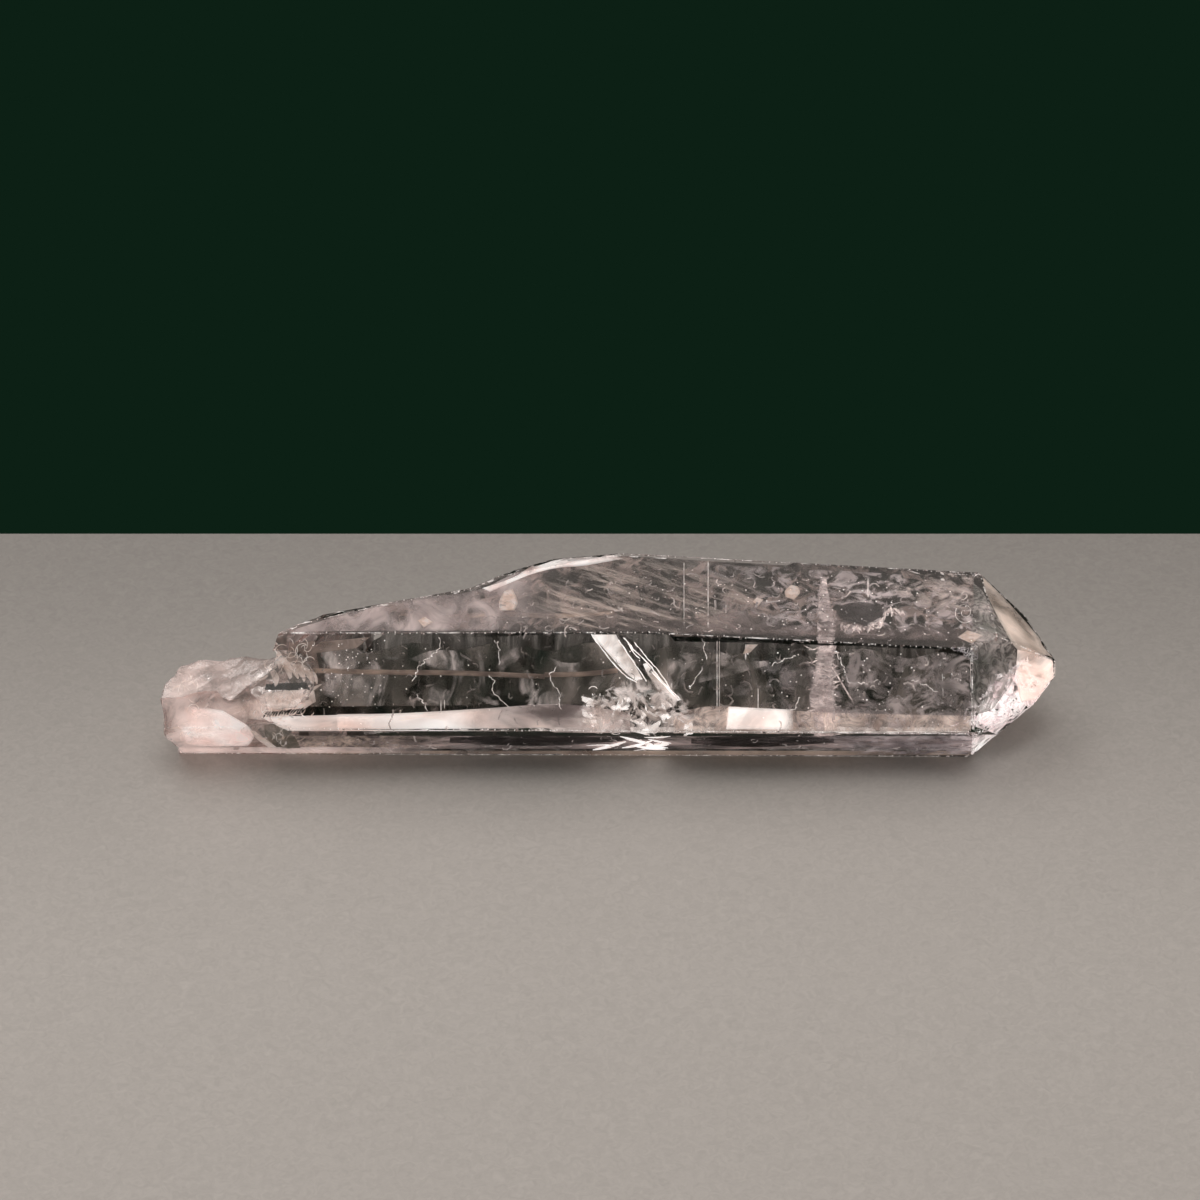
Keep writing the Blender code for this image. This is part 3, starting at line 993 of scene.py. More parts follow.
class QUARTZ_OT_threads(bpy.types.Operator):
    """Make the straight needles, painted sparkles, the wandering thread cracks and the long pale
    lines
    """

    bl_idname = "quartz.threads"
    bl_label = "Needles and Threads"

    def execute(self, context):
        bright = inner_material("needle", PALE, WHITE, (0.5, 0.95), rough=0.3, glow=0.35)
        bm = bmesh.new()
        for start, end, radius in NEEDLES_AND_PAINTED_SPARKLES:
            strand(bm, (start, end), 0.9, radius, jitter=0.02, beads=0.9)
        settle(object_from("needles", bm, bright))
        crack = inner_material("thread", PALE, WHITE, (0.3, 1.0), rough=0.3, glow=0.6,
                               stretch=2500.0)
        bm = bmesh.new()
        for points in THREADS:
            strand(bm, points, 0.8, 0.034, jitter=0.35, step=0.16, beads=1.2)
        spiral = [(39.6 + 0.11 * turn * math.cos(turn), 16.2 + 0.11 * turn * math.sin(turn))
                  for turn in range(1, 13)]
        strand(bm, spiral, 0.5, 0.03, step=0.2)
        settle(object_from("thread_cracks", bm, crack))
        peach = inner_material("peach_line", (0.30, 0.23, 0.20), PEACH, (0.5, 0.9), rough=0.4,
                               glow=0.10, stretch=(300.0, 900.0, 900.0))
        bm = bmesh.new()
        for points in PEACH_LINES:
            low = [(x, y - 0.28) for x, y in points]
            high = [(x, y + 0.28) for x, y in points]
            leaf(bm, low, high, (1.0, 1.0), rows=40, columns=3, wave=0.3, size=1.5)
        settle(object_from("peach_lines", bm, peach))
        return {"FINISHED"}


# ---------------------------------------------------------------- tip

class QUARTZ_OT_tip(bpy.types.Operator):
    """Make the feathery cluster, the net and the milky haze inside the tip"""

    bl_idname = "quartz.tip"
    bl_label = "Tip"

    def execute(self, context):
        draw = random.Random(SEED + 2)
        feathers = inner_material("tip_feathers", (0.70, 0.58, 0.60), WHITE, (0.35, 0.95),
                                  stretch=1500.0, rough=0.3, glow=0.5)
        bm = bmesh.new()
        # A wedge that opens to the right between two rising lines
        spots = [(x, y) for x, y in spots_in(draw, 300, (38.6, 3.0), (47.2, 10.6))
                 if y < 3.6 + (x - 38.6) * 1.1 and y > 3.4 + max(0.0, x - 42.6) * 0.7]
        petals(bm, spots, draw, (0.5, 1.8), (0.12, 0.5), HALF_TURN, (0.2, 2.0))
        settle(object_from("tip_feathers", bm, feathers))
        net = inner_material("net", (0.55, 0.48, 0.55), WHITE, (0.8, 1.0), rough=0.4, glow=0.25)
        bm = bmesh.new()
        # The corner above a falling line
        spots = [(x, y) for x, y in spots_in(draw, 60, (38.3, 10.8), (40.9, 12.2))
                 if y > 12.3 - (x - 38.2) * 0.62]
        curls(bm, spots, draw, (0.15, 0.35), (1.0, 4.0), 0.5, 0.03, step=0.12, count=5)
        settle(object_from("net_patch", bm, net))
        return {"FINISHED"}


# ---------------------------------------------------------------- broken root end

# Outlines as (left edge, right edge)
SHELL = (((-43.0, 5.4), (-39.6, 6.6), (-36.4, 7.3), (-33.2, 7.4)),
         ((-43.0, 4.8), (-39.6, 4.2), (-36.4, 4.3), (-33.0, 6.2)))
SHELL_RIM = (((-40.4, 3.0), (-39.6, 2.0), (-38.2, 1.0)), ((-40.0, 3.0), (-39.0, 2.3), (-37.4, 1.1)))
CHIP = (((-38.8, 3.6), (-38.6, 2.2), (-37.4, 0.9)), ((-37.6, 3.7), (-35.6, 2.5), (-34.7, 1.0)))
# SLIT is a dark sheet: painted shade in a slot of the break
SLIT = (((-38.7, 7.5), (-38.5, 8.2)), ((-33.6, 7.5), (-34.0, 8.3)))
MILK = (((-49.0, 0.8), (-50.0, 5.5), (-49.4, 9.0), (-45.6, 11.4)),
        ((-36.6, 0.8), (-38.2, 5.0), (-39.0, 8.5), (-39.6, 11.3)))
PLATE = (((-49.2, 1.2), (-49.6, 2.8), (-49.0, 6.0)), ((-40.6, 1.2), (-40.0, 2.9), (-43.4, 5.2)))

# Shells above the large one: centre, length, width and direction
SHELLS = (
    ((-36.9, 10.2), 3.6, 1.0, -0.9), ((-35.9, 9.7), 2.6, 0.8, -0.8), ((-35.0, 9.4), 2.4, 0.8, -0.9),
    ((-34.2, 9.3), 2.8, 0.8, -0.9), ((-37.6, 11.0), 2.6, 0.9, -1.1), ((-33.4, 9.0), 2.0, 0.5, -1.0),
    ((-37.9, 9.0), 2.4, 0.7, -1.2))

# Swirls: the corners of the rectangle they lie in, how many there are, and their radii
SWIRLS = (
    ((-38.4, 1.2), (-35.6, 3.2), 16, (0.3, 0.7)), ((-38.2, 9.6), (-33.4, 12.6), 34, (0.4, 1.1)),
    ((-39.6, 4.8), (-34.0, 7.2), 22, (0.4, 1.0)), ((-48.6, 1.0), (-46.6, 9.0), 18, (0.4, 1.3)))


class QUARTZ_OT_root(bpy.types.Operator):
    """Make the shells, hackles, painted slot shade and milky clouds inside the broken root end"""

    bl_idname = "quartz.root"
    bl_label = "Root End"

    def execute(self, context):
        draw = random.Random(SEED + 3)
        shell = inner_material("root_shells", (0.62, 0.50, 0.44), (0.98, 0.87, 0.82), (0.35, 0.97),
                               stretch=600.0, span=(0.3, 0.55), rough=0.25, glow=0.35)
        bm = bmesh.new()
        leaf(bm, *SHELL, (0.8, 0.8), rows=20, wave=0.4, size=1.2)
        for index in range(11):
            petal(bm, (-39.0 + 0.58 * index, 6.6 + 0.09 * index), draw.uniform(1.5, 2.2),
                  draw.uniform(0.3, 0.5), draw.uniform(0.5, 0.9), 0.5, curl=0.4)
        for centre, length, width, turn in SHELLS:
            petal(bm, centre, length, width, turn, 0.35, curl=0.5, rows=8)
        leaf(bm, *SHELL_RIM, (0.12, 0.12), rows=8, columns=3)
        settle(object_from("root_shells", bm, shell))
        chip = inner_material("root_chip", (0.20, 0.18, 0.14), (0.52, 0.45, 0.39), (0.55, 0.9),
                              stretch=700.0, warp=3.0, span=(0.35, 0.6), rough=0.3, glow=0.12)
        bm = bmesh.new()
        leaf(bm, *CHIP, (0.2, 0.2), rows=10, columns=10, wave=0.2, size=1.0)
        settle(object_from("root_chip", bm, chip))
        # Dark hackle teeth, and painted shade in the slot above them
        hackle_and_slot_shade = inner_material("hackles", (0.006, 0.010, 0.007), DARK, (1.0, 1.0), rough=0.2)
        bm = bmesh.new()
        for index in range(16):
            petal(bm, (-38.6 + 0.33 * index, 4.75 + 0.035 * index), draw.uniform(0.6, 1.0),
                  draw.uniform(0.16, 0.24), draw.uniform(0.7, 1.1), 0.3, curl=0.3, wave=0.05)
        leaf(bm, *SLIT, (0.6, 0.8), rows=4, columns=14, wave=0.3)
        settle(object_from("hackles", bm, hackle_and_slot_shade))
        swirl = inner_material("root_swirls", PEACH, WHITE, (0.6, 1.0), rough=0.3, glow=0.30)
        bm = bmesh.new()
        for low, high, count, radii in SWIRLS:
            curls(bm, spots_in(draw, count, low, high), draw, radii, (1.0, 3.2), 0.15, 0.035)
        settle(object_from("root_swirls", bm, swirl))
        milk = inner_material("root_milk", (0.48, 0.37, 0.33), (0.94, 0.82, 0.78), (0.0, 0.55),
                              stretch=330.0, warp=1.2, span=(0.35, 0.65), rough=0.4, glow=0.2)
        bm = bmesh.new()
        leaf(bm, *MILK, (0.5, 0.5), rows=22, columns=30, wave=0.6, size=1.2)
        settle(object_from("root_milk", bm, milk))
        plate = inner_material("root_plate", (0.95, 0.80, 0.76), WHITE, (0.45, 0.95),
                               stretch=330.0, warp=1.2, span=(0.3, 0.55), rough=0.4, glow=0.45,
                               soft=(-43.9, 2.6, 5.4, 5.2))
        bm = bmesh.new()
        leaf(bm, *PLATE, (0.3, 0.3), rows=10, columns=22, wave=0.3, size=1.2)
        petals(bm, spots_in(draw, 22, (-47.8, 6.6), (-40.6, 10.6)), draw, (0.8, 2.2), (0.12, 0.4),
               (-0.6, 0.8), (0.2, 0.5))
        settle(object_from("root_plate", bm, plate))
        return {"FINISHED"}


# ---------------------------------------------------------------- clouds, strokes and bubbles

# Regions to strew things in: (left edge, right edge), seen through the upper and the front face
UPPER_TIP = (((2.0, 14.2), (2.0, 21.6)), ((41.0, 12.8), (40.0, 19.6)))
UPPER_LEFT = (((-31.0, 13.8), (-24.0, 15.2), (-14.0, 17.2)),
              ((2.0, 13.9), (2.0, 17.0), (2.0, 20.8)))
FRONT = (((-36.0, 3.4), (-36.0, 12.8)), ((39.5, 3.2), (39.0, 11.6)))
LOWER = (((-37.0, 0.8), (-37.0, 2.2)), ((40.3, 0.8), (40.3, 2.2)))
FRONT_TIP = (((18.0, 3.4), (18.0, 12.6)), ((40.2, 3.2), (40.0, 11.4)))
DOTS_LEFT = (((-32.0, 5.6), (-31.0, 13.0)), ((-26.0, 5.4), (-25.0, 13.0)))
DOTS_ROOT = (((-38.0, 9.6), (-37.0, 12.9)), ((-29.0, 9.8), (-29.0, 12.9)))
HOST_SPREAD = 0.3               # how far things lie from the sheet they are strewn over
STROKE_SIZES = (0.3, 1.2)

# Strokes: name, cover, painted glow, and layers of them as (region, how deep, how many)
STROKES = (
    ("curling_strokes", (0.0, 0.6), 0.10, (
        (UPPER_TIP, 2.4, 40.0), (UPPER_LEFT, 0.8, 60.0), (FRONT, 0.6, 26.0), (FRONT, 2.2, 16.0),
        (FRONT_TIP, 1.2, 20.0))),
    ("bright_strokes", (0.2, 0.9), 0.32, (
        (UPPER_TIP, 0.35, 16.0), (UPPER_LEFT, 0.4, 14.0), (FRONT_TIP, 0.5, 12.0),
        (LOWER, 0.4, 30.0))))

# Bubbles: region, how deep, how many, and their radii
BUBBLES = (
    (FRONT, 0.7, 12.0, (0.02, 0.09)), (FRONT_TIP, 1.0, 50.0, (0.02, 0.10)),
    (UPPER_TIP, 0.4, 32.0, (0.02, 0.10)), (DOTS_LEFT, 0.6, 130.0, (0.02, 0.08)),
    (DOTS_ROOT, 0.5, 40.0, (0.02, 0.08)), (UPPER_LEFT, 0.8, 10.0, (0.02, 0.08)))


class QUARTZ_OT_strokes(bpy.types.Operator):
    """Strew faint curling strokes through the crystal"""

    bl_idname = "quartz.strokes"
    bl_label = "Curling Strokes"

    def execute(self, context):
        for name, cover, glow, layers in STROKES:
            stroke = inner_material(name, MAUVE, PALE, cover, stretch=500.0, rough=0.4, glow=glow)
            bm = bmesh.new()
            for number, (part, deep, amount) in enumerate(layers):
                scatter(bm, region(part, deep), "curl", amount, STROKE_SIZES, stroke,
                        SEED + number, spread=HOST_SPREAD)
            draw_in(bm)
            settle(object_from(name, bm, stroke))
        return {"FINISHED"}


class QUARTZ_OT_bubbles(bpy.types.Operator):
    """Strew bubbles and bright specks through the crystal"""

    bl_idname = "quartz.bubbles"
    bl_label = "Bubbles"

    def execute(self, context):
        # The bubbles' sparkle is painted: white specks with a painted glow
        spark = inner_material("bubble", PALE, WHITE, (1.0, 1.0), rough=0.15, glow=0.9)
        bm = bmesh.new()
        for number, (part, deep, amount, sizes) in enumerate(BUBBLES):
            scatter(bm, region(part, deep), "bead", amount, sizes, spark, SEED + 10 + number,
                    spread=HOST_SPREAD)
        draw_in(bm)
        settle(object_from("bubbles", bm, spark))
        return {"FINISHED"}


# The sheet of painted shade, in millimetres: it runs back low inside and then up along the back
PAINTED_SHADE_LEFT, PAINTED_SHADE_LENGTH = -38.0, 84.0
PAINTED_SHADE_COLUMNS, PAINTED_SHADE_ROWS, PAINTED_SHADE_TURN = 84, 22, 12      # it turns up at this row
PAINTED_SHADE_LOW, PAINTED_SHADE_RISE = 0.6, 3.0
PAINTED_SHADE_FRONT = 7.5               # behind the bottom front edge
PAINTED_SHADE_GAP = 0.5                 # to the crystal's back
PAINTED_SHADE_LUMP, PAINTED_SHADE_LUMP_SIZE = 0.12, 4.0
PAINTED_SHADE_THICK = (0.0, -0.03, 0.04)
PAINTED_SHADE_MARGIN = 0.15             # least room to the crystal's skin

# The sheets that hang below the roof, in millimetres
ROOF_STEP = 0.6
ROOF_LUMP, ROOF_LUMP_SIZE = 0.3, 2.5
ROOF_DEEP = 0.6                 # below the roof
ROOF_THICK = (0.0, 0.0, -0.04)
ROOF_MARGIN = 0.12              # least room to the crystal's skin
LEAST_SLOPE = 0.1               # steeper faces than this are not roof

# Mists under the roof: name, two tones, cover, left end, right end, near side, whether hidden
MISTS = (
    ("root_crown", (0.46, 0.37, 0.33), (0.90, 0.78, 0.74), (0.10, 0.80), -49.5, -35.0, -7.0, False),
    ("back_mist", (0.20, 0.17, 0.15), (0.80, 0.70, 0.66), (0.0, 0.45), -34.0, 42.0, -4.0, True))


def back_of(x, z):
    """How far back the crystal reaches at a place, in metres; None where there is none."""
    start = Vector((x, 0.0, z))
    place, normal, _, _ = TREE.find_nearest(start)
    if (start - place).dot(normal) > 0.0:
        return None
    hit = TREE.ray_cast(start, Vector((0.0, 1.0, 0.0)))[0]
    return hit.y if hit else None


def painted_shade_sheet(bm):
    """Add the sheet of painted shade that runs back low inside the crystal and up along its back.
    """
    grid = {}
    low_y = FRONT_EDGE.y + PAINTED_SHADE_FRONT * MM
    for column in range(PAINTED_SHADE_COLUMNS + 1):
        x = (PAINTED_SHADE_LEFT + PAINTED_SHADE_LENGTH * column / PAINTED_SHADE_COLUMNS) * MM
        corner = back_of(x, PAINTED_SHADE_LOW * MM)
        for row in range(PAINTED_SHADE_ROWS + 1):
            climb = max(0, row - PAINTED_SHADE_TURN) / (PAINTED_SHADE_ROWS - PAINTED_SHADE_TURN)
            z = (PAINTED_SHADE_LOW + PAINTED_SHADE_RISE * climb) * MM
            back = back_of(x, z)
            if corner is None or back is None:
                continue
            y = back - PAINTED_SHADE_GAP * MM
            if row <= PAINTED_SHADE_TURN:
                y = low_y + (corner - PAINTED_SHADE_GAP * MM - low_y) * row / PAINTED_SHADE_TURN
            bulge = PAINTED_SHADE_LUMP * MM * noise.noise(Vector((x, y, z)) / (PAINTED_SHADE_LUMP_SIZE * MM))
            grid[row, column] = bm.verts.new((x, y + bulge, z + bulge))
    fill_grid(bm, grid, PAINTED_SHADE_ROWS, PAINTED_SHADE_COLUMNS)
    trim_to_solid(bm, PAINTED_SHADE_MARGIN)
    thicken(bm, PAINTED_SHADE_THICK)


def roof_sheet(bm, left, right, near, hidden):
    """Add a sheet that hangs just below the roof, from y = near to the back, in millimetres.

    A hidden sheet keeps to the faces that look away from the camera.
    """
    grid = {}
    columns = int((right - left) / ROOF_STEP)
    rows = int((BOX_HIGH.y / MM - near) / ROOF_STEP)
    for column in range(columns + 1):
        for row in range(rows + 1):
            start = Vector(((left + column * ROOF_STEP) * MM, (near + row * ROOF_STEP) * MM, 1.0))
            hit, normal, _, _ = TREE.ray_cast(start, Vector((0.0, 0.0, -1.0)))
            if hit is None or normal.z < LEAST_SLOPE or (hidden and normal.dot(EYE - hit) > 0.0):
                continue
            lump = ROOF_LUMP * MM * noise.noise(hit / (ROOF_LUMP_SIZE * MM))
            grid[row, column] = bm.verts.new(hit - normal * (ROOF_DEEP * MM + lump))
    fill_grid(bm, grid, rows, columns)
    trim_to_solid(bm, ROOF_MARGIN)
    thicken(bm, ROOF_THICK)


class QUARTZ_OT_clouds(bpy.types.Operator):
    """Make the dark clouds of painted shade low inside the crystal and up along its back, and the
    roof's mists
    """

    bl_idname = "quartz.clouds"
    bl_label = "Smoky Clouds"

    def execute(self, context):
        # Painted shade: a dark green-grey sheet that darkens the crystal where it would show the
        # dark backdrop and the shaded floor
        smoke = inner_material("smoke", (0.008, 0.018, 0.010), (0.17, 0.155, 0.135), (0.20, 0.85),
                               stretch=(480.0, 90.0, 90.0), warp=1.2, span=(0.3, 0.72), rough=0.8,
                               fade=(-38.5, -32.0))
        bm = bmesh.new()
        painted_shade_sheet(bm)
        settle(object_from("smoky_clouds", bm, smoke))
        for name, low, high, cover, left, right, near, hidden in MISTS:
            mist = inner_material(name, low, high, cover, stretch=300.0, warp=2.0,
                                  span=(0.36, 0.62), rough=0.4, glow=0.15)
            bm = bmesh.new()
            roof_sheet(bm, left, right, near, hidden)
            settle(object_from(name, bm, mist))
        return {"FINISHED"}


def level(up, *places):
    """A level line: its (along, up) points."""
    return tuple((along, up) for along in places)


# The upper face between its top outline and its front edge
UPPER_TOP = ((-36.0, 14.1), (-31.5, 15.5), (-26.6, 16.9), (-20.5, 17.9), (-14.6, 18.8),
             (-7.6, 22.0), (0.0, 22.9), (10.0, 22.4), (20.0, 21.8), (30.0, 21.2), (40.6, 20.7))
UPPER_LOW = ((-35.5, 13.9), (-31.0, 13.9), (-26.0, 13.9), (-20.0, 13.9), (-14.0, 13.9),
             (-7.0, 13.9), (0.0, 13.9), (10.0, 13.8), (20.0, 13.6), (30.0, 13.2), (40.6, 12.9))

# The front face: its lower edge, and two uneven lines that end the hazes short of its upper edge
FRONT_LOW = ((-36.0, 5.6), (-15.0, 5.8), (0.0, 5.8), (40.3, 4.4))
FRONT_TOP = tuple((x, 13.0 - 0.013 * max(x, 0.0) - rise) for x, rise in (
    (-36.0, 0.8), (-31.0, 0.1), (-27.0, 1.2), (-22.0, 0.2), (-17.0, 1.0), (-12.0, 0.1),
    (-7.0, 1.1), (-2.0, 0.2), (3.0, 1.3), (8.0, 0.3), (13.0, 1.4), (18.0, 0.5), (23.0, 1.5),
    (28.0, 0.5), (33.0, 1.5), (37.0, 0.8), (40.3, 1.4)))
FRONT_TOP_TOO = tuple((x + 2.0, y - 0.9 + 0.7 * math.sin(x)) for x, y in FRONT_TOP[:-1])

# Thin hazes that follow the faces. Each blade is one edge, the other edge, how deep it lies, rows
# and columns; the rest is its finish.
HAZES = (
    # Painted shade: a dark green sheet under the upper face that stands for the dark backdrop seen
    # through the crystal
    dict(name="upper_depth", low=(0.008, 0.02, 0.012), high=(0.05, 0.05, 0.042), cover=(0.45, 0.97),
         stretch=170.0, warp=1.2, span=(0.38, 0.56), fade=(-18.0, -2.0),
         blades=((UPPER_TOP[3:], UPPER_LOW[3:], 2.2, 90, 10),)),
    dict(name="upper_haze", low=(0.1, 0.08, 0.07), high=(0.6, 0.48, 0.44), cover=(0.0, 0.72),
         stretch=(330.0, 260.0, 260.0), warp=2.0, glow=0.1, span=(0.46, 0.6),
         blades=((UPPER_TOP, UPPER_LOW, 1.0, 100, 10),)),
    dict(name="upper_streaks", low=(0.44, 0.37, 0.33), high=(0.92, 0.78, 0.7), cover=(0.0, 0.45),
         stretch=(1300.0, 170.0, 170.0), turn=-1.1, warp=0.6, glow=0.2, span=(0.46, 0.66),
         soft=(4.0, 17.6, 15.0, 9.0),
         blades=((UPPER_TOP[4:], UPPER_LOW[4:], 0.8, 70, 10),)),
    dict(name="upper_foot", low=(0.1, 0.075, 0.07), high=(0.5, 0.4, 0.38), cover=(0.0, 0.55),
         stretch=260.0, warp=2.0, glow=0.1, fade=(-6.0, 4.0),
         blades=((((-6.0, 13.9), (10.0, 13.8), (24.0, 13.4), (40.6, 12.9)), ((-6.0, 15.2),
                  (2.0, 16.4), (8.0, 15.4), (14.0, 16.2), (20.0, 14.8), (26.0, 15.3), (31.0, 14.3),
                  (36.0, 15.0), (40.6, 13.6)), 0.6, 90, 5),)),
    dict(name="left_mist", low=(0.5, 0.41, 0.4), high=(0.92, 0.8, 0.78), cover=(0.05, 0.6),
         stretch=(330.0, 200.0, 200.0), warp=0.8, glow=0.22, fade=(-4.0, -16.0),
         blades=((UPPER_TOP[:7], UPPER_LOW[:7], 0.6, 50, 8),)),
    dict(name="right_wisps", low=(0.5, 0.41, 0.4), high=(1.0, 0.9, 0.9), cover=(0.0, 0.64),
         stretch=300.0, warp=2.2, glow=0.2, fade=(4.0, 30.0), span=(0.48, 0.62),
         blades=((((6.0, 14.2), (40.6, 13.4)), ((6.0, 22.0), (40.4, 20.0)), 0.9, 50, 12),
                 (level(3.2, 6.0, 40.4), FRONT_TOP_TOO[8:], 1.6, 50, 14))),
    dict(name="right_mist", low=(0.24, 0.21, 0.2), high=(0.86, 0.75, 0.73), cover=(0.0, 0.62),
         stretch=280.0, warp=3.2, glow=0.22, fade=(16.0, 32.0), span=(0.42, 0.62),
         blades=((((14.0, 4.6), (40.4, 4.2)), FRONT_TOP[9:], 0.8, 50, 14),)),
    dict(name="front_wisps", low=(0.4, 0.34, 0.32), high=(0.9, 0.8, 0.76), cover=(0.0, 0.78),
         stretch=(240.0, 190.0, 190.0), warp=1.4, glow=0.4, span=(0.48, 0.68),
         blades=((FRONT_LOW[:3], FRONT_TOP_TOO[:12], 1.6, 80, 14),)),
    # Haze under the front face; its dark green tone is painted shade, the dark backdrop seen
    # through the crystal
    dict(name="front_haze", low=(0.018, 0.04, 0.025), high=(0.44, 0.39, 0.35), cover=(0.0, 0.65),
         stretch=(300.0, 150.0, 150.0), warp=1.2, glow=0.08,
         blades=((FRONT_LOW, FRONT_TOP, 1.2, 110, 14),)),
    dict(name="left_wedge", low=(0.4, 0.31, 0.27), high=(0.66, 0.54, 0.48), cover=(0.4, 0.9),
         stretch=300.0, warp=1.0, glow=0.15,
         blades=((((-34.7, 11.4), (-32.4, 12.9)), ((-28.4, 12.2), (-27.0, 13.4)), 0.7, 8, 20),
                 (((-36.4, 9.6), (-36.0, 12.8)), ((-32.6, 9.8), (-33.2, 13.0)), 0.9, 10, 12))),
    # These three sheets paint the pale band along the lower front face: a painted reflection of the
    # pale floor and softbox
    dict(name="bright_band", low=(0.84, 0.69, 0.63), high=WHITE, cover=(0.5, 0.97),
         stretch=(160.0, 420.0, 420.0), glow=0.5, fade=(-9.0, -22.0),
         blades=((level(2.9, -36.4, -23.6, -14.6, -9.0), ((-39.2, 4.5), (-23.6, 4.9), (-14.6, 5.4),
                  (-9.0, 5.8)), 0.5, 60, 6),)),
    dict(name="low_band", low=(0.36, 0.28, 0.27), high=(0.98, 0.84, 0.78), cover=(0.25, 0.9),
         stretch=(150.0, 330.0, 330.0), glow=0.42,
         blades=((level(2.9, -30.6, -23.6, -14.6, -5.7, 1.5, 1.9), ((-30.6, 4.8), (-23.6, 4.9),
                  (-14.6, 5.4), (-5.7, 5.9), (1.5, 5.0), (1.9, 4.0)), 0.7, 70, 6),)),
    dict(name="right_band", low=(0.4, 0.3, 0.26), high=(0.96, 0.81, 0.73), cover=(0.2, 0.92),
         stretch=420.0, warp=2.6, glow=0.42, span=(0.4, 0.62),
         blades=((level(2.9, 7.0, 12.0, 24.0, 40.3), ((7.0, 4.8), (12.0, 5.7), (24.0, 5.0),
                  (40.3, 4.6)), 0.7, 60, 6),)),
    # A painted reflection of the softbox: a white patch in the band
    dict(name="bright_window", low=PALE, high=WHITE, cover=(0.4, 1.0), stretch=200.0, warp=0.4,
         glow=0.75, soft=(15.4, 4.2, 5.4, 5.0),
         blades=((level(3.1, 12.9, 15.8, 20.4), ((13.2, 5.6), (15.8, 5.5), (20.4, 5.3)), 0.5, 16,
                  6),)),
    dict(name="crushed_glow", low=(0.46, 0.37, 0.33), high=(1.0, 0.92, 0.89), cover=(0.0, 0.85),
         stretch=360.0, warp=3.4, glow=0.38, span=(0.44, 0.64), soft=(2.8, 4.9, 7.4, 4.6),
         blades=((((-4.6, 2.9), (-4.2, 4.6), (-2.4, 6.4), (1.6, 8.6)), ((10.4, 2.9), (10.0, 4.6),
                  (8.6, 6.4), (5.2, 8.8)), 0.4, 24, 36),)),
    dict(name="lower_haze", low=(0.03, 0.024, 0.028), high=(0.8, 0.66, 0.64), cover=(0.3, 0.92),
         stretch=(170.0, 700.0, 700.0), warp=2.4, glow=0.16, span=(0.42, 0.58),
         blades=((level(0.9, -37.0, -20.0, 0.0, 20.0, 41.0),
                  level(2.35, -37.0, -20.0, 0.0, 20.0, 41.0), 0.9, 90, 5),)),
    dict(name="lower_shade", low=(0.006, 0.006, 0.007), high=(0.09, 0.07, 0.075), cover=(0.3, 0.88),
         stretch=(260.0, 900.0, 900.0), warp=2.0, span=(0.36, 0.56),
         blades=((((-18.0, 1.6), (-8.0, 1.25), (1.4, 1.8)), ((-18.0, 2.2), (-8.0, 2.45),
                  (1.2, 2.2)), 0.5, 50, 4),
                 (((9.0, 1.5), (16.0, 1.1), (25.0, 1.6)), ((9.0, 2.1), (16.0, 2.4), (25.0, 2.1)),
                  0.5, 50, 4))),
    dict(name="lower_line", low=(0.34, 0.25, 0.2), high=(0.78, 0.62, 0.52), cover=(0.15, 0.9),
         stretch=110.0, glow=0.25,
         blades=((level(0.2, -37.0, -20.0, 0.0, 20.0, 40.6),
                  level(0.7, -37.0, -20.0, 0.0, 20.0, 40.6), 0.5, 70, 3),)),
    # A painted highlight along the upper left outline, where a narrow face catches the light
    dict(name="rim_band", low=(0.72, 0.56, 0.52), high=WHITE, cover=(0.35, 0.97), stretch=300.0,
         glow=0.45,
         blades=((((-14.4, 18.9), (-10.9, 20.1), (-8.3, 21.7), (-5.3, 22.6), (-0.9, 22.8)),
                  ((-13.5, 18.5), (-9.0, 20.4), (-5.7, 21.2), (-3.1, 21.4), (1.4, 22.2)), 0.25, 40,
                  4),)),
    dict(name="root_glow", low=(0.66, 0.53, 0.49), high=(0.96, 0.84, 0.8), cover=(0.05, 0.6),
         stretch=260.0, warp=1.4, glow=0.32, span=(0.3, 0.6), fade=(-40.0, -48.0),
         blades=((((-51.0, 0.4), (-51.0, 4.0), (-51.0, 8.0), (-48.0, 11.0)), ((-38.6, 0.4),
                  (-39.4, 4.0), (-40.0, 8.0), (-42.0, 11.4)), 0.15, 24, 24),)),
    dict(name="root_foot", low=(0.72, 0.58, 0.54), high=(0.98, 0.86, 0.82), cover=(0.35, 0.9),
         stretch=200.0, warp=1.4, glow=0.4, fade=(-18.0, -34.0),
         blades=((level(0.2, -49.0, -40.0, -30.0, -18.0), level(1.1, -49.0, -40.0, -30.0, -18.0),
                  0.3, 60, 3),)),
    dict(name="foot_swirls", low=(0.22, 0.17, 0.14), high=(0.8, 0.66, 0.58), cover=(0.0, 0.85),
         stretch=520.0, warp=3.2, glow=0.2, span=(0.4, 0.58), fade=(-16.0, -30.0),
         blades=((level(0.9, -38.6, -30.0, -16.0), level(2.4, -38.6, -30.0, -16.0), 0.4, 50, 5),)),
    dict(name="corner_mist", low=(0.42, 0.36, 0.32), high=(1.0, 0.86, 0.82), cover=(0.0, 0.72),
         stretch=300.0, warp=1.8, glow=0.2, span=(0.44, 0.62), soft=(37.5, 18.6, 7.0, 4.6),
         blades=((((30.0, 15.0), (40.7, 14.6)), ((30.0, 21.4), (40.6, 20.8)), 0.3, 30, 14),)),
    dict(name="foot_mist", low=(0.2, 0.16, 0.17), high=(0.95, 0.84, 0.85), cover=(0.1, 0.85),
         stretch=(260.0, 500.0, 500.0), warp=2.6, glow=0.26, span=(0.42, 0.6), fade=(20.0, 38.0),
         blades=((level(0.3, 20.0, 30.0, 40.6), level(2.4, 20.0, 30.0, 40.6), 0.4, 40, 6),)),
